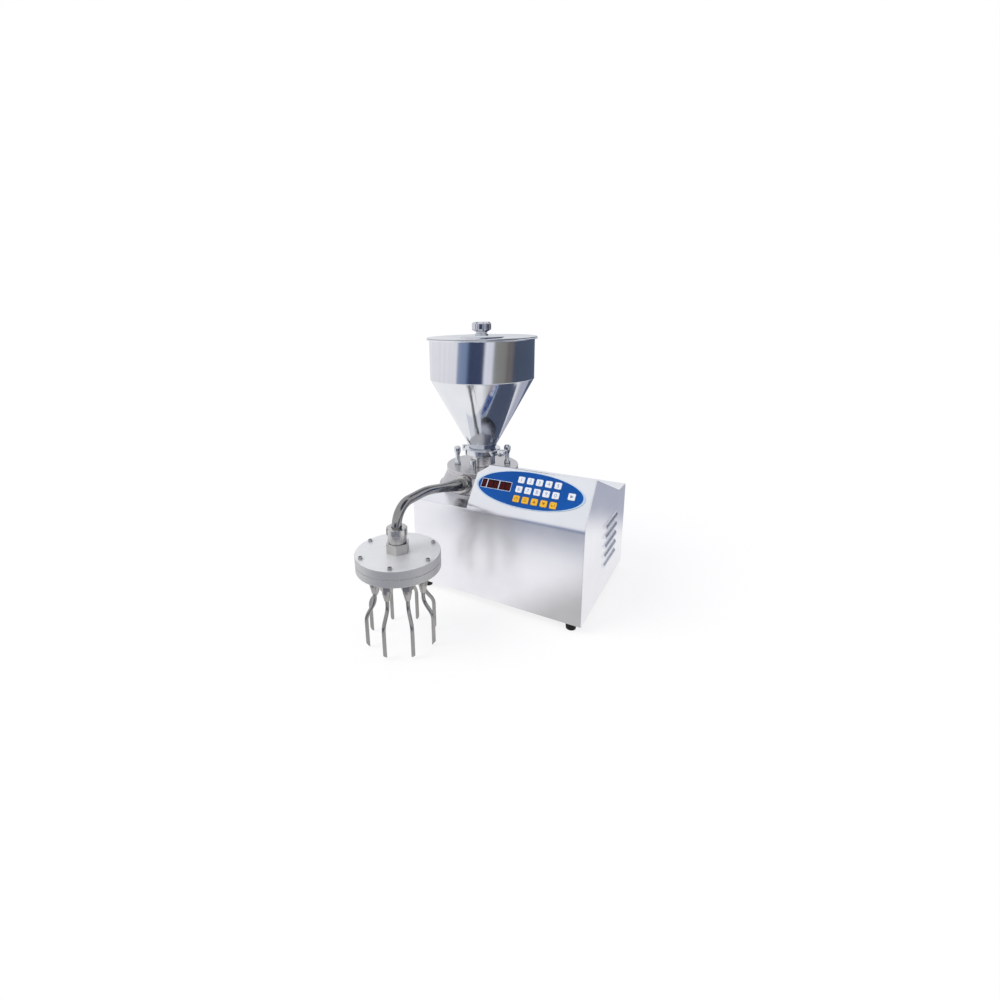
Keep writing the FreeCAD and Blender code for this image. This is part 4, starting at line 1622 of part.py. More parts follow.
bevel = outline(sketch(tubes, "tip_bevel", "XZ_Plane"), [
    (f"{TIP_X} - nozzle_radius", TIP_Z), (f"{TIP_X} - nozzle_radius", f"{TIP_Z} - 1"),
    (f"{TIP_X} + 2 * nozzle_radius", f"{TIP_Z} - 1"),
    (f"{TIP_X} + 2 * nozzle_radius", f"{TIP_Z} + 3 * nozzle_radius / tan(nozzle_bevel)")])
bevel_cut = pocket(tubes, bevel, "3 * nozzle_radius", both=True)
round_pattern(tubes, [tube, bevel_cut], "nozzles", "all_tubes")
on_head(tubes, "nozzle_angle")
keep(tubes, "nozzle_tubes")


# Every object of the document is sound before a piece is written out.
doc.recompute()
for thing in doc.Objects:
    if "Invalid" in thing.State or "Error" in thing.State:
        raise ValueError(f"{thing.Name} has state {thing.State}")
os.makedirs("parts", exist_ok=True)
for piece in OUTPUT:
    shape = piece.Shape
    if shape.isNull() or not shape.isValid():
        raise ValueError(f"{piece.Label} has no valid shape")
    shape.exportStep(f"parts/{piece.Label}.step")
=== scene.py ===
"""Looks of the bench-top filling machine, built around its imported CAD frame.

Sizes are in millimetres in the text and in metres in the meshes. +X runs along the housing,
-Y is the keypad side, +Z is up, and the bench is at zero.
"""

import math

import bmesh
import bpy
import numpy as np
from mathutils import Matrix


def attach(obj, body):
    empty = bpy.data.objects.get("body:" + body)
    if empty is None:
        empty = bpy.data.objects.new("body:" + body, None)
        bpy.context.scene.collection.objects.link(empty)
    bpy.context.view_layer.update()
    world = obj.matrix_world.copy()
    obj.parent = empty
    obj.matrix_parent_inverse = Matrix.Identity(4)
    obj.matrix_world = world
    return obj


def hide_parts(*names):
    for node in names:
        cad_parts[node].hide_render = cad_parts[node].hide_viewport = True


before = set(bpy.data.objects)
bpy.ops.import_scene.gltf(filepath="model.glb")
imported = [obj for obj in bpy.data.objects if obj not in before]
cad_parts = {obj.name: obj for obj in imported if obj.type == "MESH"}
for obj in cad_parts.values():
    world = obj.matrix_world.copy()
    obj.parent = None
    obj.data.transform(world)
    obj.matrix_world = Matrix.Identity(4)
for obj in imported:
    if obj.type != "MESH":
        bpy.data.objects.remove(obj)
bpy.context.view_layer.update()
scene = bpy.context.scene
scene.view_settings.view_transform = "Standard"


# Camera: stands at the photograph's place, a little above the hopper, and looks past the near
# corner of the housing. Its frame is square. The angles are in radians, and the focal length
# and the shift are shares of the frame's width. MM is one millimetre in metres.
MM = 0.001
CAMERA_SPOT = (483.2, -940.2, 659.6)
CAMERA_YAW = 0.5545
CAMERA_PITCH = 0.252
CAMERA_ROLL = 0.022
FOCAL_SHARE = 0.5
SHIFT = (0.04715, -0.0589)

camera_data = bpy.data.cameras.new("photo_camera")
camera_data.sensor_width = 36.0
camera_data.lens = FOCAL_SHARE * camera_data.sensor_width
camera_data.shift_x, camera_data.shift_y = SHIFT
camera_data.clip_start = 0.01
camera = bpy.data.objects.new("photo_camera", camera_data)
scene.collection.objects.link(camera)
ahead = np.array([-math.sin(CAMERA_YAW) * math.cos(CAMERA_PITCH),
                  math.cos(CAMERA_YAW) * math.cos(CAMERA_PITCH), -math.sin(CAMERA_PITCH)])
level = np.array([math.cos(CAMERA_YAW), math.sin(CAMERA_YAW), 0.0])
down = np.cross(ahead, level)
sideways = math.cos(CAMERA_ROLL) * level + math.sin(CAMERA_ROLL) * down
downwards = -math.sin(CAMERA_ROLL) * level + math.cos(CAMERA_ROLL) * down
camera.matrix_world = Matrix([
    [sideways[row], -downwards[row], -ahead[row], CAMERA_SPOT[row] * MM] for row in range(3)
] + [[0, 0, 0, 1]])
scene.camera = camera


# Studio: a white room seen as plain white by the camera. Polished metal sees white walls with
# a few dark openings between them, which give it the upright bands of the photograph. Each
# band starts at its bearing in degrees, from +X towards +Y.
WALL_BANDS = [
    (-180, "#F4F2F6"), (-117, "#F1EFF4"), (-112, "#8E9DBB"), (-93, "#7788A8"), (-88, "#3C4763"),
    (-58, "#414A66"), (-54, "#ECECF6"), (-39, "#E4E4F0"), (-34, "#8F918E"), (-9, "#84827F"),
    (-5, "#767070"), (8, "#6E696C"), (13, "#4C5669"), (95, "#566076"), (116, "#78829A"),
    (124, "#F1EFF4")]
BAND_LEAN, LEAN_HEIGHTS = 0.16, (-0.14, -0.03)
CEILING_HEIGHTS = (-0.03, 0.08)
REAR_FADE = (0.15, 0.45)
SKYLIGHT, SKYLIGHT_FADE = (0.557, 0.049, 0.829), (0.86, 0.93)
FOLD_SCALE, FOLD_LIGHT = 14.0, (0.88, 1.08)
CEILING_COLOUR, SKY_COLOUR = "#EFF1F4", "#5C6278"
ROOM_LIGHT, ROOM_COLOUR = 0.62, "#F4F6FF"


def linear(code):
    """Linear colour of an sRGB hex code."""
    shares = np.array([int(code[place:place + 2], 16) for place in (1, 3, 5)]) / 255
    curved = ((shares + 0.055) / 1.055) ** 2.4
    return (*np.where(shares <= 0.04045, shares / 12.92, curved).tolist(), 1.0)


def add_node(tree, kind, inputs=None, **settings):
    """Add a node. Inputs are values, or other nodes' outputs; a node stands for its first."""
    node = tree.nodes.new(kind)
    for name, setting in settings.items():
        setattr(node, name, setting)
    for place, given in (inputs or {}).items():
        if isinstance(given, bpy.types.Node):
            given = given.outputs[0]
        if isinstance(given, bpy.types.NodeSocket):
            tree.links.new(given, node.inputs[place])
        else:
            node.inputs[place].default_value = given
    return node


def fill_ramp(ramp, stops):
    """Set the stops (place, hex colour) of a colour ramp."""
    while len(ramp.elements) < len(stops):
        ramp.elements.new(1.0)
    for element, (place, code) in zip(ramp.elements, stops):
        element.position = place
        element.color = linear(code)


room = bpy.data.worlds.new("white_room")
scene.world = room
room.use_nodes = True
tree = room.node_tree
tree.nodes.clear()
ray = add_node(tree, "ShaderNodeLightPath")
direction = add_node(tree, "ShaderNodeTexCoord").outputs["Generated"]
towards = add_node(tree, "ShaderNodeSeparateXYZ", {0: direction})
bearing = add_node(tree, "ShaderNodeMath", {0: towards.outputs["Y"], 1: towards.outputs["X"]},
                   operation="ARCTAN2")
# The bands lean a little, because the openings' sides aren't quite upright.
lean = add_node(tree, "ShaderNodeMapRange",
                {0: towards.outputs["Z"], 1: LEAN_HEIGHTS[0], 2: LEAN_HEIGHTS[1],
                 3: BAND_LEAN / 2, 4: -BAND_LEAN / 2})
leaning = add_node(tree, "ShaderNodeMath", {0: bearing, 1: lean},
                   operation="ADD")
share = add_node(tree, "ShaderNodeMapRange", {0: leaning, 1: -math.pi, 2: math.pi})
bands = add_node(tree, "ShaderNodeValToRGB", {0: share})
fill_ramp(bands.color_ramp, [((degrees + 180) / 360, code) for degrees, code in WALL_BANDS])
# Curtains hang between the openings, and their folds lighten and darken the bands a little.
folds = add_node(tree, "ShaderNodeTexNoise",
                 {"W": leaning, "Scale": FOLD_SCALE, "Detail": 3.0},
                 noise_dimensions="1D")
fold_light = add_node(tree, "ShaderNodeMapRange",
                      {0: folds.outputs["Fac"], 1: 0.3, 2: 0.7, 3: FOLD_LIGHT[0],
                       4: FOLD_LIGHT[1]})
walls = add_node(tree, "ShaderNodeVectorMath", {0: bands, 1: fold_light},
                 operation="MULTIPLY")
ceiling = add_node(tree, "ShaderNodeMapRange",
                   {0: towards.outputs["Z"], 1: CEILING_HEIGHTS[0], 2: CEILING_HEIGHTS[1]},
                   interpolation_type="SMOOTHSTEP")
# Metal that is itself seen in metal shows the dark wall behind the machine up to the ceiling.
to_rear = add_node(tree, "ShaderNodeMapRange",
                   {0: towards.outputs["Y"], 1: REAR_FADE[0], 2: REAR_FADE[1]})
again = add_node(tree, "ShaderNodeMath", {0: ray.outputs["Glossy Depth"], 1: 1.5},
                 operation="GREATER_THAN")
rear_again = add_node(tree, "ShaderNodeMath", {0: to_rear, 1: again},
                      operation="MULTIPLY")
lower_ceiling = add_node(tree, "ShaderNodeMath", {0: ceiling, 1: rear_again},
                         operation="SUBTRACT", use_clamp=True)
seen_in_metal = add_node(tree, "ShaderNodeMix",
                         {0: lower_ceiling, 6: walls,
                          7: linear(CEILING_COLOUR)}, data_type="RGBA")
# A round window in the ceiling looks out at a dull sky; the end cover's upper part shows it.
overhead = add_node(tree, "ShaderNodeVectorMath", {0: direction, 1: SKYLIGHT},
                    operation="DOT_PRODUCT")
in_skylight = add_node(tree, "ShaderNodeMapRange",
                       {0: overhead.outputs["Value"], 1: SKYLIGHT_FADE[0], 2: SKYLIGHT_FADE[1]},
                       interpolation_type="SMOOTHSTEP")
with_skylight = add_node(tree, "ShaderNodeMix",
                         {0: in_skylight, 6: seen_in_metal.outputs[2],
                          7: linear(SKY_COLOUR)}, data_type="RGBA")
# The camera, and what is seen through glass, gets plain white; other light gets the room's own.
general = add_node(tree, "ShaderNodeBackground", {0: linear(ROOM_COLOUR), 1: ROOM_LIGHT})
mirrored = add_node(tree, "ShaderNodeBackground", {0: with_skylight.outputs[2], 1: 1.0})
plain = add_node(tree, "ShaderNodeBackground", {0: (1.0, 1.0, 1.0, 1.0), 1: 1.0})
either = add_node(tree, "ShaderNodeMixShader",
                  {0: ray.outputs["Is Glossy Ray"], 1: general, 2: mirrored})
clear = add_node(tree, "ShaderNodeMath",
                 {0: ray.outputs["Is Camera Ray"], 1: ray.outputs["Is Transmission Ray"]},
                 operation="MAXIMUM")
whole = add_node(tree, "ShaderNodeMixShader",
                 {0: clear, 1: either, 2: plain})
add_node(tree, "ShaderNodeOutputWorld", {0: whole})

# One large soft lamp gives the shadow on the floor. Metal doesn't show it.
lamp_data = bpy.data.lights.new("large_soft_lamp", "SUN")
lamp_data.energy = 1.35
lamp_data.angle = math.radians(34)
lamp_data.color = (1.0, 0.985, 0.96)
lamp = bpy.data.objects.new("large_soft_lamp", lamp_data)
lamp.rotation_euler = (math.radians(38), math.radians(-22), math.radians(-18))
lamp.visible_glossy = False
scene.collection.objects.link(lamp)

# Bench: white, and it keeps the shadow. Metal sees it white near the machine and on the left,
# blue-grey further out, and not at all past its end, where the room's walls show instead.
# Places and distances are in metres; distances along X count for less, by BENCH_SCALE.
BENCH_HALF = 60.0
BENCH_MIDDLE, BENCH_SCALE = (-0.10, 0.10, 0.0), (0.45, 1.0, 0.0)
GREY_FADE, END_FADE = (0.40, 0.64), (1.00, 1.20)
LEFT_FADE, BEHIND_FADE = (-0.44, -0.30), (-0.2, 0.4)
GREY_IN_FRONT, GREY_BEHIND, MAT_COLOUR = "#8E93A4", "#B2B5C4", "#7C7C77"
GLOW_SHARE, GLOW_STRENGTH = 0.74, 1.08
MAT_EDGE, MAT_ACROSS, MAT_FADE = (0.022, -0.076, 0.0), (0.905, 0.425, 0.0), (-0.008, 0.11)
MAT_ENDS, MAT_FRONT, MAT_STRENGTH = (0.224, 0.229), (-0.02, 0.0), 0.58

bench_mesh = bpy.data.meshes.new("bench")
bench_mesh.from_pydata([(x * BENCH_HALF, y * BENCH_HALF, 0)
                        for x, y in ((-1, -1), (1, -1), (1, 1), (-1, 1))], [], [(0, 1, 2, 3)])
floor = bpy.data.objects.new("bench", bench_mesh)
scene.collection.objects.link(floor)
bench = bpy.data.materials.new("white_bench")
bench.use_nodes = True
tree = bench.node_tree
tree.nodes.clear()
ray = add_node(tree, "ShaderNodeLightPath")
white = add_node(tree, "ShaderNodeBsdfDiffuse", {"Color": linear("#F6F6F6")})
# A share of even glow lifts the bench to the room's white and leaves the shadow soft.
glow = add_node(tree, "ShaderNodeEmission",
                {"Color": (1.0, 1.0, 1.0, 1.0), "Strength": GLOW_STRENGTH})
camera_mix = add_node(tree, "ShaderNodeMixShader",
                      {0: GLOW_SHARE, 1: white, 2: glow})
spot = add_node(tree, "ShaderNodeTexCoord").outputs["Object"]
centred = add_node(tree, "ShaderNodeVectorMath", {0: spot, 1: BENCH_MIDDLE}, operation="SUBTRACT")
narrowed = add_node(tree, "ShaderNodeVectorMath", {0: centred, 1: BENCH_SCALE},
                    operation="MULTIPLY")
away = add_node(tree, "ShaderNodeVectorMath", {0: narrowed}, operation="LENGTH")
beyond = add_node(tree, "ShaderNodeMapRange",
                  {0: away.outputs["Value"], 1: GREY_FADE[0], 2: GREY_FADE[1]},
                  interpolation_type="SMOOTHSTEP")
across = add_node(tree, "ShaderNodeSeparateXYZ", {0: spot})
right_side = add_node(tree, "ShaderNodeMapRange",
                      {0: across.outputs["X"], 1: LEFT_FADE[0], 2: LEFT_FADE[1]},
                      interpolation_type="SMOOTHSTEP")
grey_share = add_node(tree, "ShaderNodeMath", {0: beyond, 1: right_side},
                      operation="MULTIPLY")
behind = add_node(tree, "ShaderNodeMapRange",
                  {0: across.outputs["Y"], 1: BEHIND_FADE[0], 2: BEHIND_FADE[1]})
far_colour = add_node(tree, "ShaderNodeMix", {0: behind, 6: linear(GREY_IN_FRONT),
                                              7: linear(GREY_BEHIND)}, data_type="RGBA")
far_floor = add_node(tree, "ShaderNodeEmission", {"Color": far_colour.outputs[2], "Strength": 1.0})
greyed = add_node(tree, "ShaderNodeMixShader",
                  {0: grey_share, 1: camera_mix, 2: far_floor})
# A grey mat lies in front of the housing's right end, and only metal shows it. It grows darker
# from its slanting edge, and ends at the housing's corner and under its front wall.
from_edge = add_node(tree, "ShaderNodeVectorMath", {0: spot, 1: MAT_EDGE}, operation="SUBTRACT")
past_edge = add_node(tree, "ShaderNodeVectorMath", {0: from_edge, 1: MAT_ACROSS},
                     operation="DOT_PRODUCT")
mat_share = add_node(tree, "ShaderNodeMapRange",
                     {0: past_edge.outputs["Value"], 1: MAT_FADE[0], 2: MAT_FADE[1], 3: 0.0,
                      4: MAT_STRENGTH})
mat_end = add_node(tree, "ShaderNodeMapRange",
                   {0: across.outputs["X"], 1: MAT_ENDS[0], 2: MAT_ENDS[1], 3: 1.0, 4: 0.0})
in_front = add_node(tree, "ShaderNodeMapRange",
                    {0: across.outputs["Y"], 1: MAT_FRONT[0], 2: MAT_FRONT[1], 3: 1.0, 4: 0.0})
mat_place = add_node(tree, "ShaderNodeMath", {0: mat_end, 1: in_front},
                     operation="MULTIPLY")
on_mat = add_node(tree, "ShaderNodeMath", {0: mat_share, 1: mat_place},
                  operation="MULTIPLY")
grey_mat = add_node(tree, "ShaderNodeEmission", {"Color": linear(MAT_COLOUR), "Strength": 1.0})
with_mat = add_node(tree, "ShaderNodeMixShader",
                    {0: on_mat, 1: greyed, 2: grey_mat})
past_end = add_node(tree, "ShaderNodeMapRange",
                    {0: away.outputs["Value"], 1: END_FADE[0], 2: END_FADE[1]},
                    interpolation_type="SMOOTHSTEP")
open_floor = add_node(tree, "ShaderNodeBsdfTransparent")
in_metal = add_node(tree, "ShaderNodeMixShader",
                    {0: past_end, 1: with_mat, 2: open_floor})
first = add_node(tree, "ShaderNodeMixShader",
                 {0: ray.outputs["Is Glossy Ray"], 1: white, 2: in_metal})
last = add_node(tree, "ShaderNodeMixShader",
                {0: ray.outputs["Is Camera Ray"], 1: first, 2: camera_mix})
add_node(tree, "ShaderNodeOutputMaterial", {0: last})
bench_mesh.materials.append(bench)


# Rubber feet: black moulded rubber, slightly tapered, each with a soft lower edge and screwed
# up into the base plate. They stand on the bench.
FOOT_TOP, FOOT_HEIGHT, FOOT_TAPER = 12.0, 18.0, 1.5
FOOT_PLACES = [(-170.5, -16.0), (197.5, -16.0), (-170.5, 287.0), (197.5, 287.0)]


def rounded(corners, steps=6):
    """Closed outline whose corners (x, y, radius) become arcs that touch both their sides.

    An arc's centre lies on the corner's bisector, at the radius over the sine of half the
    corner, and its points swing evenly from one touching point to the other.
    """
    outline = []
    for place, (x, y, radius) in enumerate(corners):
        here = np.array([x, y], float)
        if radius == 0:
            outline.append(here[None])
            continue
        back = np.array(corners[place - 1][:2]) - here
        forth = np.array(corners[(place + 1) % len(corners)][:2]) - here
        back /= np.linalg.norm(back)
        forth /= np.linalg.norm(forth)
        half = math.acos(float(np.clip(back @ forth, -1, 1))) / 2
        centre = here + (back + forth) / np.linalg.norm(back + forth) * radius / math.sin(half)
        start = here + back * radius / math.tan(half) - centre
        end = here + forth * radius / math.tan(half) - centre
        sweep = math.acos(float(np.clip(start @ end / radius ** 2, -1, 1)))
        shares = np.linspace(0, 1, steps)[:, None]
        arc = np.sin((1 - shares) * sweep) * start + np.sin(shares * sweep) * end
        outline.append(centre + arc / math.sin(sweep))
    return np.concatenate(outline)


def revolve(outline, steps=128):
    """Grid of an outline (radius r, height h) turned round Z: (r cos a, r sin a, h)."""
    turn = np.linspace(0, 2 * math.pi, steps, endpoint=False)
    radius, height = outline[:, :1], outline[:, 1:]
    return np.stack([radius * np.cos(turn), radius * np.sin(turn), height + 0 * turn], -1)


def skin(grid):
    """Faces of a grid that closes on itself both ways: (i, j) joins on to i + 1 and j + 1."""
    rows, columns = grid.shape[:2]
    row, column = np.meshgrid(np.arange(rows), np.arange(columns), indexing="ij")
    row_2, column_2 = (row + 1) % rows, (column + 1) % columns
    corners = [row * columns + column, row_2 * columns + column,
               row_2 * columns + column_2, row * columns + column_2]
    return np.stack(corners, -1).reshape(-1, 4)


def finish_piece(name, mesh, body, material, nodes=(), sharp=32.0):
    """Shade a mesh, give it its material, and put it into the scene on its body.

    Faces are shaded as one where they meet at less than the sharp angle, in degrees.
    """
    mesh.shade_smooth()
    mesh.set_sharp_from_angle(angle=math.radians(sharp))
    mesh.materials.clear()
    mesh.materials.append(material)
    piece = bpy.data.objects.new(name, mesh)
    scene.collection.objects.link(piece)
    weight = piece.modifiers.new("even_shading", "WEIGHTED_NORMAL")
    weight.keep_sharp = True
    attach(piece, body)
    if nodes:
        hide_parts(*nodes)
    return piece


def add_surface(name, grids, body, material, nodes=(), at=(0, 0, 0), sharp=32.0):
    """Piece made of closed grids: each point is the grid's own plus the place, times MM.

    Points that fall together are merged, and faces left without width go with them.
    """
    points, faces, count = [], [], 0
    for grid in grids:
        faces.append(skin(grid) + count)
        points.append(grid.reshape(-1, 3))
        count += len(points[-1])
    mesh = bpy.data.meshes.new(name)
    spots = (np.concatenate(points) + np.array(at)) * MM
    mesh.from_pydata(spots.tolist(), [], np.concatenate(faces).tolist())
    edit = bmesh.new()
    edit.from_mesh(mesh)
    bmesh.ops.remove_doubles(edit, verts=edit.verts, dist=1e-7)
    loose = [edge for edge in edit.edges if not edge.link_faces]
    bmesh.ops.delete(edit, geom=loose, context="EDGES")
    bmesh.ops.recalc_face_normals(edit, faces=edit.faces)
    edit.to_mesh(mesh)
    edit.free()
    return finish_piece(name, mesh, body, material, nodes, sharp)


def new_material(name):
    """Material with a principled shader; gives its node tree, shader and object position."""
    material = bpy.data.materials.new(name)
    material.use_nodes = True
    tree = material.node_tree
    shader = tree.nodes["Principled BSDF"]
    place = add_node(tree, "ShaderNodeTexCoord").outputs["Object"]
    return material, tree, shader, place


def per_mm(size):
    """Noise scale whose features are this many millimetres across: one over their size."""
    return 1 / (size * MM)


def moulded(name, codes, roughness, grain, bump, blotch=20.0, shine=0.35):
    """Moulded or printed surface: two close colours in soft blotches, and an even grain.

    Roughness is its own value times one plus or minus the uneven share, by the grain's noise.
    The grain is given in millimetres, and is drawn coarser than the real one, to show.
    """
    uneven, grain_depth = 0.15, 0.05
    material, tree, shader, place = new_material(name)
    cloud = add_node(tree, "ShaderNodeTexNoise", {"Vector": place, "Scale": per_mm(blotch),
                                                  "Detail": 3.0})
    shade = add_node(tree, "ShaderNodeValToRGB", {0: cloud.outputs["Fac"]})
    fill_ramp(shade.color_ramp, [(0.35, codes[0]), (0.65, codes[1])])
    tree.links.new(shade.outputs[0], shader.inputs["Base Color"])
    grit = add_node(tree, "ShaderNodeTexNoise", {"Vector": place, "Scale": per_mm(grain),
                                                 "Detail": 2.0})
    worn = add_node(tree, "ShaderNodeMapRange", {0: grit.outputs["Fac"],
                                                 3: roughness * (1 - uneven),
                                                 4: roughness * (1 + uneven)})
    tree.links.new(worn.outputs[0], shader.inputs["Roughness"])
    relief = add_node(tree, "ShaderNodeBump", {"Height": grit.outputs["Fac"], "Strength": bump,
                                               "Distance": grain_depth * MM})
    tree.links.new(relief.outputs[0], shader.inputs["Normal"])
    shader.inputs["Specular IOR Level"].default_value = shine
    return material


# Nitrile rubber from a mould: the eye gets a matt black with slightly greyer blotches.
nitrile_rubber = moulded("nitrile_rubber", ("#121213", "#1C1C1E"), 0.62, 0.8, 0.5)
foot_outline = rounded([(0.0, 0.0, 0), (FOOT_TOP - FOOT_TAPER, 0.0, 1.2),
                        (FOOT_TOP, FOOT_HEIGHT, 0.8), (0.0, FOOT_HEIGHT, 0)])
foot = revolve(foot_outline, 48)
add_surface("rubber_feet_moulded", [foot + np.array([x, y, 0.0]) for x, y in FOOT_PLACES],
            "machine", nitrile_rubber, ["rubber_feet"])


# Housing: stainless sheet, folded and welded, then ground with fine grit. The end cover is
# screwed on at the right, and a zinc-plated base plate closes the housing from below.
def ground_metal(name, codes, roughness, stroke, uneven, bump, blotch=60.0):
    """Ground, turned or polished metal: strokes of given sizes in mm, with uneven gloss.

    Roughness is its own value times one plus or minus the uneven share, by the product of the
    strokes' noise and the blotches'. The strokes also lift the surface a little. They are drawn
    coarser than real tool marks, which would be too fine to show.
    """
    stroke_depth = 0.02
    material, tree, shader, place = new_material(name)
    shader.inputs["Metallic"].default_value = 1.0
    across = add_node(tree, "ShaderNodeMapping",
                      {"Vector": place, "Scale": [per_mm(size) for size in stroke]})
    strokes = add_node(tree, "ShaderNodeTexNoise", {"Vector": across, "Scale": 1.0,
                                                    "Detail": 4.0})
    cloud = add_node(tree, "ShaderNodeTexNoise", {"Vector": place, "Scale": per_mm(blotch),
                                                  "Detail": 3.0})
    shade = add_node(tree, "ShaderNodeValToRGB", {0: cloud.outputs["Fac"]})
    fill_ramp(shade.color_ramp, [(0.3, codes[0]), (0.7, codes[1])])
    tree.links.new(shade.outputs[0], shader.inputs["Base Color"])
    both = add_node(tree, "ShaderNodeMath", {0: strokes.outputs["Fac"], 1: cloud.outputs["Fac"]},
                    operation="MULTIPLY")
    gloss = add_node(tree, "ShaderNodeMapRange", {0: both, 1: 0.12, 2: 0.45,
                                                  3: roughness * (1 - uneven),
                                                  4: roughness * (1 + uneven)})
    tree.links.new(gloss.outputs[0], shader.inputs["Roughness"])
    relief = add_node(tree, "ShaderNodeBump", {"Height": strokes.outputs["Fac"], "Strength": bump,
                                               "Distance": stroke_depth * MM})
    tree.links.new(relief.outputs[0], shader.inputs["Normal"])
    return material


def dressed_copy(name, node, body, material, bevel=0.0, sharp=32.0):
    """Copy of a CAD node: faces that lie within the flat angle become one, and edges are eased.

    The bevel is the width in millimetres that is taken off every edge past the sharp angle.
    """
    merged, flat = 1e-6, math.radians(0.4)
    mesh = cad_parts[node].data.copy()
    mesh.name = name
    edit = bmesh.new()
    edit.from_mesh(mesh)
    bmesh.ops.remove_doubles(edit, verts=edit.verts, dist=merged)
    bmesh.ops.dissolve_limit(edit, angle_limit=flat, verts=edit.verts, edges=edit.edges)
    edit.to_mesh(mesh)
    edit.free()
    piece = finish_piece(name, mesh, body, material, [node], sharp)
    if bevel:
        ease = piece.modifiers.new("eased_edges", "BEVEL")
        ease.width = bevel * MM
        ease.segments = 2
        ease.limit_method = "ANGLE"
        ease.angle_limit = math.radians(sharp)
        ease.harden_normals = True
        piece.modifiers.move(1, 0)
    return piece


# Ground stainless sheet: long level strokes give the eye a soft satin sheen that draws
# reflections out, and handling leaves it a little uneven.
GROUND_STROKES = (120.0, 120.0, 0.6)
ground_sheet = ground_metal("ground_stainless_sheet", ("#EDEDF2", "#F4F4F8"), 0.24,
                            GROUND_STROKES, 0.12, 0.06)
# Zinc-plated sheet, dipped bright: it looks greyer, cloudy and half dull.
zinc_sheet = ground_metal("zinc_plated_sheet", ("#A9ADB2", "#B9BCBE"), 0.38,
                          (14.0, 14.0, 14.0), 0.25, 0.2, 12.0)
dressed_copy("housing_sheet", "main_housing", "machine", ground_sheet, 0.4)
dressed_copy("end_cover_sheet", "end_cover", "machine", ground_sheet, 0.4)
dressed_copy("base_sheet", "base_plate", "machine", zinc_sheet, 0.3)


# Keypad: an oval polyester plate printed blue with a pale rim, on the console's slope. A red
# lens lies behind its display openings, and moulded keys stand through it.
SLOPE = math.radians(50.1739)
OVAL_CENTRE = np.array([85.0, 6.6234, 284.5064])
OVAL_HALF = (125.0, 42.5)
PLATE_TOP, INK_THICKNESS = 1.5, 0.12
RIM_FROM, RIM_FULL = 0.925, 0.935
DISPLAY_MIDDLE, DISPLAY_HEIGHT = 0.8, 20.0
DISPLAY_WINDOWS = [(-112.0, 12.0), (-98.0, 27.5), (-68.5, 27.5)]
SLOPE_AXES = np.array([[1, 0, 0], [0, math.cos(SLOPE), math.sin(SLOPE)],
                       [0, -math.sin(SLOPE), math.cos(SLOPE)]])


def on_slope(points):
    """Points (along, up the slope, out of it) in the machine's frame.

    Each is the oval's middle plus the three distances along the slope's own axes.
    """
    return np.asarray(points, float) @ SLOPE_AXES + OVAL_CENTRE


def slab(outline, low, high):
    """Closed grid of a flat outline between two heights: middle, low edge, high edge, middle."""
    outline = np.asarray(outline, float)
    middle = outline.mean(axis=0) + 0 * outline
    rows = [(middle, low), (outline, low), (outline, high), (middle, high)]
    return np.stack([np.column_stack([ring, np.full(len(ring), height)]) for ring, height in rows])


def ring_slab(outer, inner, low, high):
    """Closed grid between two outlines of as many points: up the outer one, down the inner."""
    rows = [(outer, low), (outer, high), (inner, high), (inner, low)]
    return np.stack([np.column_stack([ring, np.full(len(ring), height)]) for ring, height in rows])


def box_outline(x, y, width, height, radius=0.6):
    """Outline of a rectangle: its middle plus or minus half its sizes, with rounded corners."""
    return rounded([(x + right * width / 2, y + up * height / 2, radius)
                    for right, up in ((-1, -1), (1, -1), (1, 1), (-1, 1))])


# Printed polyester: an even blue ink under a dull lacquer, with a pale rim two millimetres
# wide. The rim starts where the squares of a place's shares of both half sizes add up to
# RIM_FROM. The eye gets a flat, deep blue with a satin gloss and a crisp pale border.
printed_plate, tree, shader, place = new_material("printed_polyester")
offset = add_node(tree, "ShaderNodeVectorMath", {0: place, 1: (OVAL_CENTRE * MM).tolist()},
                  operation="SUBTRACT")
parts = []
for axis, half in zip(SLOPE_AXES[:2], OVAL_HALF):
    along = add_node(tree, "ShaderNodeVectorMath",
                     {0: offset, 1: (axis / (half * MM)).tolist()},
                     operation="DOT_PRODUCT")
    parts.append(add_node(tree, "ShaderNodeMath", {0: along.outputs["Value"], 1: 2.0},
                          operation="POWER"))
rim_share = add_node(tree, "ShaderNodeMath", {0: parts[0], 1: parts[1]},
                     operation="ADD")
ink = add_node(tree, "ShaderNodeTexNoise", {"Vector": place, "Scale": per_mm(70.0)})
blue = add_node(tree, "ShaderNodeValToRGB", {0: ink.outputs["Fac"]})
fill_ramp(blue.color_ramp, [(0.35, "#0A4C9A"), (0.65, "#0C57AA")])
rim = add_node(tree, "ShaderNodeMapRange", {0: rim_share, 1: RIM_FROM, 2: RIM_FULL})
plate_colour = add_node(tree, "ShaderNodeMix", {0: rim, 6: blue,
                                                7: linear("#BFD6EA")}, data_type="RGBA")
tree.links.new(plate_colour.outputs[2], shader.inputs["Base Color"])
lacquer = add_node(tree, "ShaderNodeTexNoise", {"Vector": place, "Scale": per_mm(1.0)})
dull = add_node(tree, "ShaderNodeMapRange", {0: lacquer.outputs["Fac"], 3: 0.26, 4: 0.36})
tree.links.new(dull.outputs[0], shader.inputs["Roughness"])
shader.inputs["Specular IOR Level"].default_value = 0.12
dressed_copy("keypad_plate", "keypad_fascia", "machine", printed_plate, 0.25)

# Red acrylic, cast and cut: deep and clear, so it looks nearly black with nothing lit behind.
red_acrylic = moulded("red_acrylic", ("#270406", "#330608"), 0.10, 30.0, 0.02, shine=0.12)
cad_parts["display_window"].data.materials.clear()
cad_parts["display_window"].data.materials.append(red_acrylic)

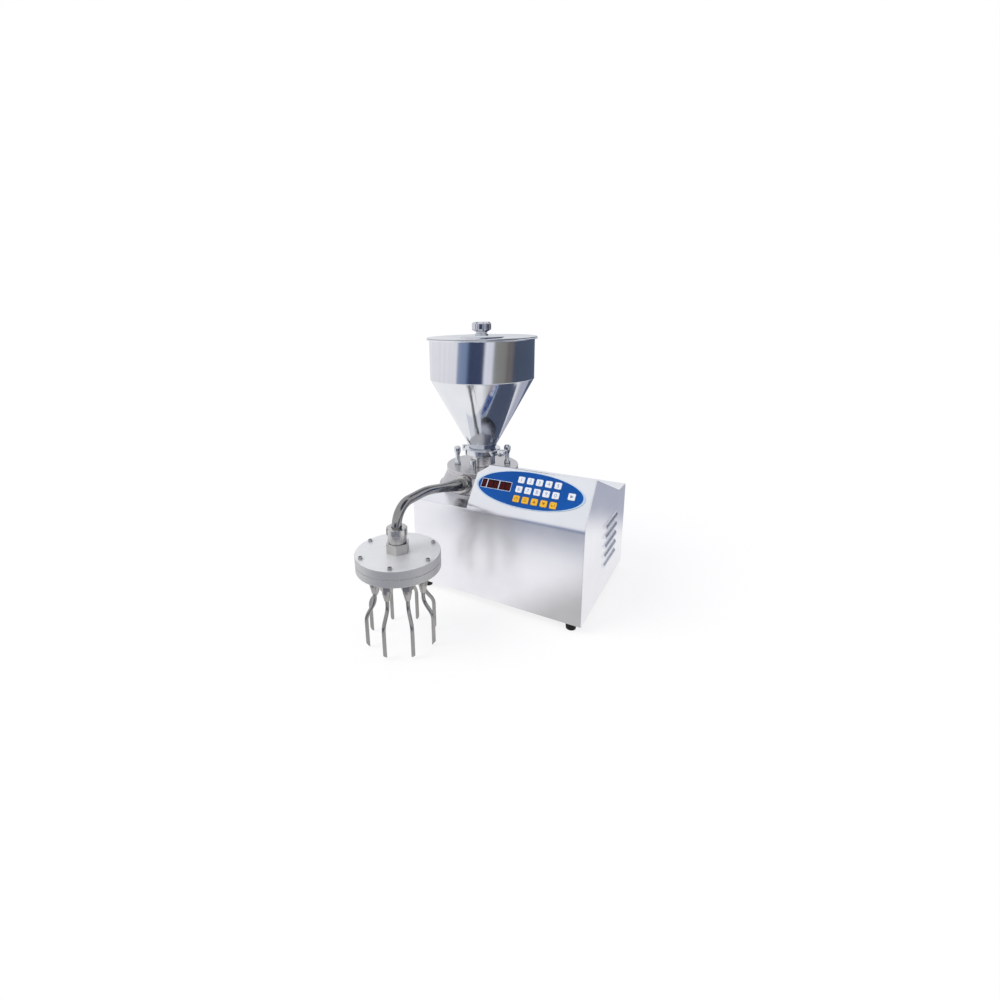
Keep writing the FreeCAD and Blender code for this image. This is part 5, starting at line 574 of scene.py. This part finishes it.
# Pale screen-printed ink: matt thin lines, one millimetre wide, that set off the windows.
pale_ink = moulded("pale_ink", ("#C9D8E8", "#D9E4F0"), 0.4, 0.5, 0.1)
window_frames = []
for left, width in DISPLAY_WINDOWS:
    middle = (left + width / 2, DISPLAY_MIDDLE)
    window_frames.append(ring_slab(box_outline(*middle, width + 2.0, DISPLAY_HEIGHT + 2.0),
                                   box_outline(*middle, width + 0.1, DISPLAY_HEIGHT + 0.1),
                                   PLATE_TOP + 0.02, PLATE_TOP + INK_THICKNESS))
add_surface("display_frames", [on_slope(grid) for grid in window_frames], "machine",
            pale_ink)

# Seven-segment figures of diffusing resin, cast in slots: unlit, so they show as a duller red.
dull_segments = moulded("unlit_segments", ("#560C12", "#640F15"), 0.35, 1.0, 0.05, shine=0.1)
DIGIT_WIDE, DIGIT_HIGH, STROKE = 7.6, 13.6, 1.7
LYING_GAP, STANDING_GAP, DRAWN_IN = 0.6, 0.9, 0.98
segment_boxes = []
for left, width in DISPLAY_WINDOWS:
    count = 1 if width < 20 else 2
    for number in range(count):
        x = left + width * (number + 0.5) / count
        segment_boxes += [(x, DISPLAY_MIDDLE + up * (DIGIT_HIGH - STROKE) / 2,
                           DIGIT_WIDE - 2 * STROKE - LYING_GAP, STROKE) for up in (-1, 0, 1)]
        segment_boxes += [(x + right * (DIGIT_WIDE - STROKE) / 2,
                           DISPLAY_MIDDLE + up * (DIGIT_HIGH - STROKE) / 4 * DRAWN_IN,
                           STROKE, (DIGIT_HIGH - STROKE) / 2 - STANDING_GAP)
                          for right in (-1, 1) for up in (-1, 1)]
segments = [slab(box_outline(*box, 0.5), 0.02, 0.1) for box in segment_boxes]
add_surface("display_figures", [on_slope(grid) for grid in segments], "machine",
            dull_segments)


# Keys: caps moulded from plastic in white and orange, each with a printed figure or a plain
# sign. They stand through the plate in three rows, with the start key at their right.
KEY_TOP = 2.9
KEY_PITCH, KEYS_MIDDLE, START_KEY = (20.8, 22.2), (20.8, -1.2), (96.0, 2.0)
FIGURE_HEIGHT = 11.5
INK_LOW, INK_HIGH = KEY_TOP - 0.02, KEY_TOP + 0.04
NUMBER_ROWS = ("12345", "67890")
SIGN_ROW = ("time", "count", "up", "down", "enter")
# Moulded plastic with a fine spark-eroded grain: clean, even colours with a silky gloss.
white_cap = moulded("white_moulded_plastic", ("#E9EDF4", "#F3F5FA"), 0.42, 0.6, 0.25, 8.0)
orange_cap = moulded("orange_moulded_plastic", ("#EFB41E", "#F5C033"), 0.42, 0.6, 0.25, 8.0)
# Inks pressed on with a pad: thin and matt, so the figures stay legible in any light.
grey_ink = moulded("grey_ink", ("#6F7E93", "#7C8AA0"), 0.5, 0.5, 0.1)
brown_ink = moulded("brown_ink", ("#A2601A", "#B06A1C"), 0.5, 0.5, 0.1)


def key_place(row, column):
    """Middle of a key: the block's middle plus the pitch times the steps from the middle key."""
    return (KEYS_MIDDLE[0] + (column - 2) * KEY_PITCH[0],
            KEYS_MIDDLE[1] + (1 - row) * KEY_PITCH[1])


def add_key(node, place, material, ink, sign_grids=None, figure=None):
    """Give a key its material, and its print as a thin layer on the cap.

    A figure is moved by the key's place less the middle of its own outline; a sign, whose
    outlines are drawn round zero, by the key's place.
    """
    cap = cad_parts[node]
    cap.data.materials.clear()
    cap.data.materials.append(material)
    name = f"{node}_print"
    if figure:
        text = bpy.data.curves.new(name, "FONT")
        text.body = figure
        text.size = FIGURE_HEIGHT
        text.align_x, text.align_y = "CENTER", "CENTER"
        text.extrude = (INK_HIGH - INK_LOW) / 2
        source = bpy.data.objects.new(name, text)
        scene.collection.objects.link(source)
        bpy.context.view_layer.update()
        mesh = bpy.data.meshes.new_from_object(source)
        bpy.data.objects.remove(source)
        spots = np.empty(len(mesh.vertices) * 3)
        mesh.vertices.foreach_get("co", spots)
        spots = spots.reshape(-1, 3)
        spots[:, :2] += place - (spots[:, :2].max(axis=0) + spots[:, :2].min(axis=0)) / 2
        spots[:, 2] += (INK_LOW + INK_HIGH) / 2
        mesh.vertices.foreach_set("co", (on_slope(spots) * MM).ravel())
        mesh.update()
        finish_piece(name, mesh, f"{node}_cap", ink)
    else:
        moved = [grid + np.array([place[0], place[1], 0]) for grid in sign_grids]
        add_surface(name, [on_slope(grid) for grid in moved], f"{node}_cap", ink)


def sign_bar(x, y, width, height):
    """Flat printed bar: its middle plus or minus half its sizes, between the ink's levels."""
    return slab(box_outline(x, y, width, height, 0.2), INK_LOW, INK_HIGH)


def sign_triangle(points):
    """Flat printed triangle with slightly rounded corners, between the ink's levels."""
    return slab(rounded([(x, y, 0.3) for x, y in points]), INK_LOW, INK_HIGH)


circle_turn = np.linspace(0, 2 * math.pi, 40, endpoint=False)
unit_circle = np.column_stack([np.cos(circle_turn), np.sin(circle_turn)])
SIGNS = {
    "time": [ring_slab(unit_circle * 4.2, unit_circle * 3.3, INK_LOW, INK_HIGH),
             sign_bar(0.0, 1.3, 0.8, 2.8), sign_bar(1.0, 0.0, 2.2, 0.8)],
    "count": [sign_bar(0.0, dy, 7.0, 1.1) for dy in (-3.0, 0.0, 3.0)],
    "up": [sign_triangle([(-3.8, -2.6), (3.8, -2.6), (0.0, 3.6)])],
    "down": [sign_triangle([(-3.8, 2.6), (0.0, -3.6), (3.8, 2.6)])],
    "enter": [sign_bar(0.8, -1.2, 6.0, 1.1), sign_bar(3.4, 1.0, 1.1, 4.4),
              sign_triangle([(-1.6, -3.6), (-1.6, 1.2), (-4.6, -1.2)])],
    "start": [sign_triangle([(-2.6, -3.8), (3.8, 0.0), (-2.6, 3.8)])]}
for row, figures in enumerate(NUMBER_ROWS):
    for column, figure in enumerate(figures):
        add_key(f"key_{figure}", key_place(row, column), white_cap, grey_ink,
                figure=figure)
for column, sign in enumerate(SIGN_ROW):
    add_key(f"key_{sign}", key_place(2, column), orange_cap, brown_ink, SIGNS[sign])
add_key("key_start", START_KEY, white_cap, grey_ink, SIGNS["start"])


# Pieces inside the housing and at its rear: circuit boards, power supply, motor, worm gearbox
# on its bracket, gear case with its shafts, and the black inlet with its switch.
# Glass laminate, pressed and coated green: a cloudy green with a fine grain.
green_laminate = moulded("green_laminate", ("#1F5C3A", "#2A6B45"), 0.4, 0.6, 0.3, 6.0)
# Black nylon from a grained mould: a dull black without sharp highlights.
black_nylon = moulded("black_nylon", ("#17181A", "#202124"), 0.48, 0.5, 0.4)
# Sprayed machine paint: a grey-blue skin with the slight ripple of spray.
machine_paint = moulded("grey_machine_paint", ("#55606B", "#616C76"), 0.38, 1.5, 0.35)
# Cast iron, milled where it shows: a dark grainy metal with a broken sheen.
cast_metal = ground_metal("machined_cast_iron", ("#55565A", "#64656A"), 0.45,
                          (1.5, 1.5, 1.5), 0.2, 0.6, 15.0)
# Steel and bronze bars from the lathe: fine rings round each shaft stretch its highlights.
turned_bar = ground_metal("turned_steel_bar", ("#A5A7AA", "#B5B7BA"), 0.22,
                          (12.0, 12.0, 0.8), 0.2, 0.25, 10.0)
bronze = ground_metal("turned_bronze", ("#A87E45", "#B98D50"), 0.28,
                      (12.0, 12.0, 0.8), 0.2, 0.25, 10.0)


def paint_nodes(material, *names):
    """Give a material to CAD nodes whose own shape is shown as it is."""
    for name in names:
        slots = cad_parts[name].data.materials
        slots.clear()
        slots.append(material)


paint_nodes(green_laminate, "keypad_board", "control_board")
paint_nodes(zinc_sheet, "power_supply", "gearbox_bracket")
paint_nodes(machine_paint, "drive_motor", "worm_gearbox")
paint_nodes(cast_metal, "gear_case")
paint_nodes(turned_bar, "drive_gear_shaft", "idler_gear_shaft")
paint_nodes(bronze, "shaft_bushes")
paint_nodes(nitrile_rubber, "shaft_seals", "cover_seal", "clamp_gasket")
dressed_copy("inlet_moulding", "inlet_module", "machine", black_nylon, 0.4)
dressed_copy("switch_moulding", "switch_rocker", "switch", black_nylon, 0.4)


# Rotor pump: turned from solid stainless and polished by hand. The casing flares out to its
# foot; the cover carries a neck, and two knobs and a pin hold it down.
PUMP_AXIS = (-95.5, 135.0)
HOUSING_TOP = 232.0
ON_PUMP = (*PUMP_AXIS, HOUSING_TOP)
# Painted shade on the pump body fades in between these heights above the housing, just below the
# neck.
NECK_SHADE_FROM, NECK_SHADE_FULL = 55.0, 57.0
KNOB_LEVEL, STUD_CIRCLE, STUD_ANGLE = 54.3, 63.0, math.radians(33)


def add_tone(material, share, code):
    """Second colour in a metal: its own times one less the share, plus the second times it."""
    shader = material.node_tree.nodes["Principled BSDF"]
    own = shader.inputs["Base Color"].links[0].from_socket
    mixed = add_node(material.node_tree, "ShaderNodeMix", {0: share, 6: own, 7: linear(code)},
                     data_type="RGBA")
    material.node_tree.links.new(mixed.outputs[2], shader.inputs["Base Color"])


# Stainless body, turned and then polished by hand: broad soft reflections with faint rings.
# The casing and cover below the neck get a darker base colour than the neck: painted shade that
# makes the neck look brighter.
polished_body = ground_metal("polished_stainless_body", ("#EAE8E6", "#F2F0EF"), 0.3,
                             (60.0, 60.0, 2.0), 0.2, 0.03, 40.0)
tree = polished_body.node_tree
place = add_node(tree, "ShaderNodeTexCoord").outputs["Object"]
level = add_node(tree, "ShaderNodeSeparateXYZ", {0: place})
# Painted shade: below the neck, the casing and cover blend to a darker base colour.
painted_shade_below_neck = add_node(tree, "ShaderNodeMapRange",
                      {0: level.outputs["Z"], 1: (HOUSING_TOP + NECK_SHADE_FROM) * MM,
                       2: (HOUSING_TOP + NECK_SHADE_FULL) * MM, 3: 1.0, 4: 0.0})
add_tone(polished_body, painted_shade_below_neck, "#C3C1C4")
# Stainless polished to a mirror on a wheel: crisp reflections that waver a little.
mirror = ground_metal("mirror_polished_stainless", ("#D2D4D9", "#DADCE1"), 0.045,
                      (45.0, 45.0, 220.0), 0.3, 0.35, 90.0)
paint_nodes(polished_body, "drive_rotor", "idler_rotor")
dressed_copy("pump_casing_turned", "pump_casing", "machine", polished_body, 0.8)
cover_outline = rounded([
    (0.0, 46.0, 0), (90.0, 46.0, 0.8), (90.0, 54.0, 1.6), (31.75, 54.0, 3.0), (31.75, 83.0, 0.6),
    (38.75, 85.6, 0.6), (38.75, 88.0, 0.3), (29.75, 88.0, 0.3), (29.75, 54.0, 1.5), (0.0, 54.0, 0)])
add_surface("pump_cover_turned", [revolve(cover_outline, 160)], "machine",
            polished_body, ["pump_cover"], ON_PUMP)
dressed_copy("cover_pin_and_studs", "cover_studs", "machine", mirror, 0.5)

knob_outline = rounded([
    (4.3, 0.0, 0.2), (8.0, 0.0, 0.8), (8.0, 6.2, 1.0), (5.4, 10.6, 3.0), (5.4, 24.6, 6.0),
    (8.6, 34.0, 6.0), (8.6, 43.0, 3.5), (5.4, 47.0, 2.0), (0.0, 47.0, 0), (0.0, 26.6, 0),
    (4.3, 26.6, 0.2)], 8)
for label, side in (("left", -1), ("right", 1)):
    spot = (PUMP_AXIS[0] + side * STUD_CIRCLE * math.cos(STUD_ANGLE),
            PUMP_AXIS[1] + side * STUD_CIRCLE * math.sin(STUD_ANGLE), HOUSING_TOP + KNOB_LEVEL)
    add_surface(f"hand_knob_{label}_turned", [revolve(knob_outline, 48)], f"{label}_knob",
                mirror, [f"hand_knob_{label}"], spot)


# Clamp joint: two forged halves round the hopper's and the cover's flanges, with a hinge pin
# on the left and a bolt with a wing nut on the right, all polished.
dressed_copy("clamp_halves", "clamp_ring", "machine", mirror, 0.5)
dressed_copy("clamp_bolt_and_pin", "clamp_pins", "machine", turned_bar, 0.4)
dressed_copy("clamp_wing_nut", "wing_nut", "clamp_nut", mirror, 0.5)


# Hopper: a cone and a cylinder of stainless sheet, welded together, with a rolled rim and a
# ferrule, and polished nearly to a mirror. The weld leaves a narrow bright line.
SHEET, CONE_FOOT, CONE_HEAD = 2.0, (31.75, 97.0), (126.0, 272.0)
CONE_TILT = math.atan2(CONE_HEAD[0] - CONE_FOOT[0], CONE_HEAD[1] - CONE_FOOT[1])
INNER_SHIFT = (SHEET / math.cos(CONE_TILT) - SHEET) / math.tan(CONE_TILT)
# Polished sheet: a shade softer than a mirror, so bands of light run down it with soft edges.
hopper_polish = ground_metal("polished_stainless_hopper", ("#DEE0E4", "#E6E8EC"), 0.11,
                             (45.0, 45.0, 220.0), 0.25, 0.25, 90.0)
hopper_outline = rounded([
    (29.75, 90.0, 0.3), (38.75, 90.0, 0.3), (38.75, 92.4, 0.6), (31.75, 95.0, 0.5),
    (31.75, 97.5, 1.0), (125.6, 271.2, 0.6), (126.25, 272.0, 0.4), (126.0, 273.0, 0.5),
    (126.0, 364.2, 1.0), (132.6, 365.0, 0.4), (133.0, 366.5, 0.9), (132.0, 368.0, 1.0),
    (124.0, 368.0, 0.8), (124.0, CONE_HEAD[1] + INNER_SHIFT, 2.0),
    (29.75, CONE_FOOT[1] + INNER_SHIFT, 1.0)])
add_surface("hopper_spun", [revolve(hopper_outline, 192)], "machine",
            hopper_polish, ["hopper"], ON_PUMP, 50.0)


# Lid and its knob: a pressed stainless disc with a raised middle and a skirt that sits in the
# hopper's mouth, and a turned knob with eight flutes for the fingers, screwed on from below.
LID_LEVEL, LID_KNOB_LEVEL = 368.3, 374.3
FLUTES, FLUTE_DEPTH, FLUTE_START, FLUTE_RISE = 8, 3.4, 14.5, 6.0
KNOB_COLUMNS = 192
lid_outline = rounded([
    (0.0, 6.0, 0), (50.0, 6.0, 3.0), (56.0, 2.0, 3.0), (131.0, 2.0, 0.8), (131.0, 0.0, 0.6),
    (123.0, 0.0, 0.3), (123.0, -9.0, 0.5), (121.0, -9.0, 0.5), (121.0, 0.0, 0.6),
    (55.0, 0.0, 2.0), (49.0, 4.0, 2.0), (0.0, 4.0, 0)])
add_surface("lid_pressed", [revolve(lid_outline, 160)], "lid", mirror,
            ["hopper_lid"], (*PUMP_AXIS, HOUSING_TOP + LID_LEVEL), 50.0)

lid_knob_outline = rounded([
    (0.0, 0.0, 0), (16.0, 0.0, 0.6), (16.0, 1.8, 1.0), (13.5, 4.6, 2.0), (13.5, 7.0, 2.0),
    (23.0, 12.0, 3.0), (23.0, 26.8, 2.6), (19.0, 30.0, 2.5), (0.0, 30.0, 0)], 8)
fluted = revolve(lid_knob_outline, KNOB_COLUMNS)
round_knob = np.linspace(0, 2 * math.pi, KNOB_COLUMNS, endpoint=False)
# A flute is a hollow as deep as the cosine to the power 1.5. It starts FLUTE_START from the
# axis and is at full depth FLUTE_RISE further out. Points on the axis stay where they are.
hollow = np.clip(np.cos(FLUTES * round_knob), 0, 1) ** 1.5
from_knob_axis = np.hypot(fluted[..., 0], fluted[..., 1])
depth = FLUTE_DEPTH * hollow * np.clip((from_knob_axis - FLUTE_START) / FLUTE_RISE, 0, 1)
fluted[..., :2] *= (1 - depth / np.maximum(from_knob_axis, 1.0))[..., None]
add_surface("lid_knob_fluted", [fluted], "lid", mirror, ["lid_knob"],
            (*PUMP_AXIS, HOUSING_TOP + LID_KNOB_LEVEL), 50.0)


# Outlet: a slotted ring nut on the pump, and a drawn stainless pipe that tapers, rises over a
# gentle crest and bends down to the filling head.
TILT = math.radians(12.5)
OUTLET = np.array([PUMP_AXIS[0], PUMP_AXIS[1] - 106.0, HOUSING_TOP + 29.5])
PIPE_STEPS = [("run", 126.0), (-TILT, 220.0), ("run", 38.0), (-math.pi / 2, 44.0), ("run", 15.0)]
# Radii of the pipe's outside and bore, each after a distance along it; and the outline
# (radius, height) of the collar that the head's nut holds.
PIPE_RADII = [(0.0, 18.6), (0.4, 19.0), (4.6, 19.0), (5.0, 18.6), (5.05, 14.5), (14.0, 14.5),
              (22.0, 14.35), (90.0, 10.15), (100.0, 10.0), (270.0, 10.0)]
BORE_RADII = [(0.0, 13.0), (14.0, 13.0), (98.0, 8.5), (400.0, 8.5)]
COLLAR = [(9.5, 0.3), (13.6, 0.0), (14.0, 0.4), (14.0, 4.6), (13.6, 4.95), (10.0, 5.0), (9.5, 5.0)]


def bent_line(heading, parts, spacing=3.0):
    """Points and headings of a flat line, made of ("run", length) and (angle, radius) parts.

    A run's points are its start plus a share of its length along the heading. A turn's are its
    centre, square to the heading at the radius, plus the radius at the angle reached.
    """
    spot, points, headings = np.zeros(2), [], []
    for turn_by, size in parts:
        count = max(2, int((size if turn_by == "run" else abs(turn_by) * size) / spacing) + 1)
        share = np.linspace(0, 1, count, endpoint=False)
        along = np.array([math.cos(heading), math.sin(heading)])
        if turn_by == "run":
            points.append(spot + share[:, None] * size * along)
            headings.append(np.full(count, heading))
            spot = spot + size * along
            continue
        side = math.copysign(1, turn_by)
        centre = spot + side * size * np.array([-along[1], along[0]])
        angle = heading - side * math.pi / 2 + share * turn_by
        points.append(centre + size * np.column_stack([np.cos(angle), np.sin(angle)]))
        headings.append(heading + share * turn_by)
        heading += turn_by
        spot = centre + size * np.array([math.cos(heading - side * math.pi / 2),
                                         math.sin(heading - side * math.pi / 2)])
    points.append(spot[None])
    headings.append(np.array([heading]))
    return np.concatenate(points), np.concatenate(headings)


def pipe_wall(points, headings, radius, steps=48):
    """Rings square to a flat line, which runs in the plane of the first and third axes.

    A point is the line's plus radius x cos a square to the heading, and radius x sin a sideways.
    """
    turn = np.linspace(0, 2 * math.pi, steps, endpoint=False)
    across = np.column_stack([-np.sin(headings), np.cos(headings)])
    reach = np.asarray(radius, float)[:, None] * np.cos(turn)
    side = np.asarray(radius, float)[:, None] * np.sin(turn)
    return np.stack([points[:, :1] + reach * across[:, :1], side,
                     points[:, 1:] + reach * across[:, 1:]], -1)


# Drawn stainless tube, belt polished: dark, clear reflections that waver slightly.
drawn_tube = ground_metal("polished_stainless_tube", ("#8F8E8D", "#9D9C9B"), 0.15,
                          (30.0, 30.0, 8.0), 0.25, 0.12, 25.0)
# Nuts turned from stainless bar: paler, with close rings that soften every highlight.
turned_nut = ground_metal("turned_stainless_nut", ("#C0BEBC", "#CECCCA"), 0.24,
                          (20.0, 20.0, 1.0), 0.2, 0.1, 15.0)
line, headings = bent_line(TILT, PIPE_STEPS, 2.0)
lengths = np.concatenate([[0], np.cumsum(np.linalg.norm(np.diff(line, axis=0), axis=1))])
# The pipe gets rings at the line's own points and at each step of its outside before 100 mm.
stops = sorted(set(np.round(lengths, 3)) | {length for length, _ in PIPE_RADII[:8]})
stops = np.array([stop for stop in stops if stop <= lengths[-1]])
dense = np.column_stack([np.interp(stops, lengths, line[:, axis]) for axis in (0, 1)])
dense_headings = np.interp(stops, lengths, headings)
outer_radius = np.interp(stops, *np.array(PIPE_RADII).T)
inner_radius = np.interp(stops, *np.array(BORE_RADII).T)
shell = np.concatenate([pipe_wall(dense, dense_headings, outer_radius),
                        pipe_wall(dense, dense_headings, inner_radius)[::-1]])
# The line runs in (outwards, up); outwards is -Y in the machine's frame.
pipe_grid = np.stack([shell[..., 1] + OUTLET[0], OUTLET[1] - shell[..., 0],
                      shell[..., 2] + OUTLET[2]], -1)
HEAD_AXIS = (OUTLET[0], OUTLET[1] - float(line[-1, 0]))
JOINT_LEVEL = OUTLET[2] + float(line[-1, 1])
collar_grid = revolve(np.array(COLLAR), 48) + np.array([*HEAD_AXIS, JOINT_LEVEL])
add_surface("outlet_pipe_drawn", [pipe_grid, collar_grid], "machine", drawn_tube,
            ["outlet_pipe"], sharp=40.0)
dressed_copy("outlet_ring_nut", "outlet_union_nut", "outlet_nut", turned_nut, 0.8)


# Filling head: a hexagon adapter under a slotted nut, two round plates with a fine blasted
# finish held by six socket screws, and eight fittings with bent tubes of drawn stainless.
dressed_copy("head_ring_nut", "head_union_nut", "head_nut", turned_nut, 0.5)
dressed_copy("head_hexagon", "head_adapter", "filling_head", turned_nut, 0.6)
# Painted shade on the plates' rims: between these radii the base colour turns darker.
SHADED_RIM_RADII = (85.0, 85.6)
# Blasted stainless, part metal and part matt to the eye: pale, and even from every side. The
# grit's grain is drawn coarser than real. The rims get a darker base colour: painted shade for
# their upright sides.
blasted = ground_metal("blasted_stainless_plate", ("#EFEFEF", "#F5F5F5"), 0.46,
                       (1.0, 1.0, 1.0), 0.12, 0.35, 25.0)
blasted.node_tree.nodes["Principled BSDF"].inputs["Metallic"].default_value = 0.55
ON_HEAD = (*HEAD_AXIS, JOINT_LEVEL)
tree = blasted.node_tree
place = add_node(tree, "ShaderNodeTexCoord").outputs["Object"]
from_axis = add_node(tree, "ShaderNodeVectorMath",
                     {0: place, 1: (HEAD_AXIS[0] * MM, HEAD_AXIS[1] * MM, 0.0)},
                     operation="SUBTRACT")
flat = add_node(tree, "ShaderNodeVectorMath", {0: from_axis, 1: (1.0, 1.0, 0.0)},
                operation="MULTIPLY")
reach = add_node(tree, "ShaderNodeVectorMath", {0: flat}, operation="LENGTH")
# Painted shade: past the first radius, the base colour darkens towards the rims'.
painted_shade_on_rim = add_node(tree, "ShaderNodeMapRange",
                  {0: reach.outputs["Value"], 1: SHADED_RIM_RADII[0] * MM, 2: SHADED_RIM_RADII[1] * MM})
add_tone(blasted, painted_shade_on_rim, "#C2C2C2")
top_outline = rounded([(15.0, -51.0, 0), (86.0, -51.0, 0.2), (86.0, -34.0, 1.2),
                       (15.0, -34.0, 0.3)])
lower_outline = rounded([(0.0, -68.0, 0), (86.0, -68.0, 1.4), (86.0, -52.1, 0.2),
                         (84.0, -52.1, 0.1), (84.0, -51.0, 0.1), (62.0, -51.0, 0.3),
                         (62.0, -58.0, 0.3), (0.0, -58.0, 0)])
add_surface("head_upper_plate", [revolve(top_outline, 160)], "filling_head",
            blasted, ["head_top_plate"], ON_HEAD)
add_surface("head_lower_plate", [revolve(lower_outline, 160)], "filling_head",
            blasted, ["head_bottom_plate"], ON_HEAD)
dressed_copy("head_socket_screws", "head_screws", "filling_head", turned_bar, 0.3)
# Fittings turned from stainless bar and tumbled bright: small clear highlights on each flat.
bright_fitting = ground_metal("polished_stainless_fitting", ("#A09E9C", "#AEACAA"), 0.16,
                              (20.0, 20.0, 2.0), 0.2, 0.08, 15.0)
dressed_copy("nozzle_nuts", "nozzle_fittings", "filling_head", bright_fitting, 0.4)

# Nozzle tubes: eight drawn stainless tubes, each bent twice so that it steps outwards, pressed
# into its fitting, and cut on a slant at the tip.
TUBE_RADIUS, TUBE_WALL, TUBE_BEND, TUBE_TOP = 4.0, 1.0, 32.0, -68.0
TUBE_SLOPE = math.radians(35.0)
TUBE_SPREAD, TUBE_UPPER, TUBE_LENGTH = 20.0, 57.0, 165.0
TIP_CUT, RING_STEP = math.radians(38.0), 0.2
NOZZLES, FIRST_NOZZLE, NOZZLE_CIRCLE = 8, math.radians(-35.5), 52.5
step_run = (TUBE_SPREAD - 2 * TUBE_BEND * (1 - math.cos(TUBE_SLOPE))) / math.sin(TUBE_SLOPE)
lower_run = (TUBE_LENGTH - TUBE_UPPER - 2 * TUBE_BEND * math.sin(TUBE_SLOPE)
             - step_run * math.cos(TUBE_SLOPE))
line, headings = bent_line(-math.pi / 2, [("run", TUBE_UPPER), (TUBE_SLOPE, TUBE_BEND),
                                          ("run", step_run), (-TUBE_SLOPE, TUBE_BEND),
                                          ("run", lower_run)], 2.5)
tube_walls = []
for radius in (TUBE_RADIUS, TUBE_RADIUS - TUBE_WALL):
    wall = pipe_wall(line, headings, np.full(len(line), radius), 28)
    # The tip is cut on a slant that faces outwards, so its inner side is the longest. The
    # rings above it are pushed up where the slant would cross them.
    outwards = wall[-1, :, 0] - line[-1, 0]
    wall[-1, :, 2] += (outwards + TUBE_RADIUS) / math.tan(TIP_CUT)
    for ring in (-2, -3, -4, -5):
        wall[ring, :, 2] = np.maximum(wall[ring, :, 2], wall[ring + 1, :, 2] + RING_STEP)
    tube_walls.append(wall)
tube = (np.concatenate([tube_walls[0], tube_walls[1][::-1]])
        + np.array([NOZZLE_CIRCLE, 0, TUBE_TOP]))
tubes = []
for number in range(NOZZLES):
    angle = FIRST_NOZZLE + number * 2 * math.pi / NOZZLES
    turned = tube.copy()
    turned[..., 0] = tube[..., 0] * math.cos(angle) - tube[..., 1] * math.sin(angle)
    turned[..., 1] = tube[..., 0] * math.sin(angle) + tube[..., 1] * math.cos(angle)
    tubes.append(turned)
add_surface("nozzle_tubes_drawn", tubes, "filling_head", drawn_tube,
            ["nozzle_tubes"], ON_HEAD, 40.0)
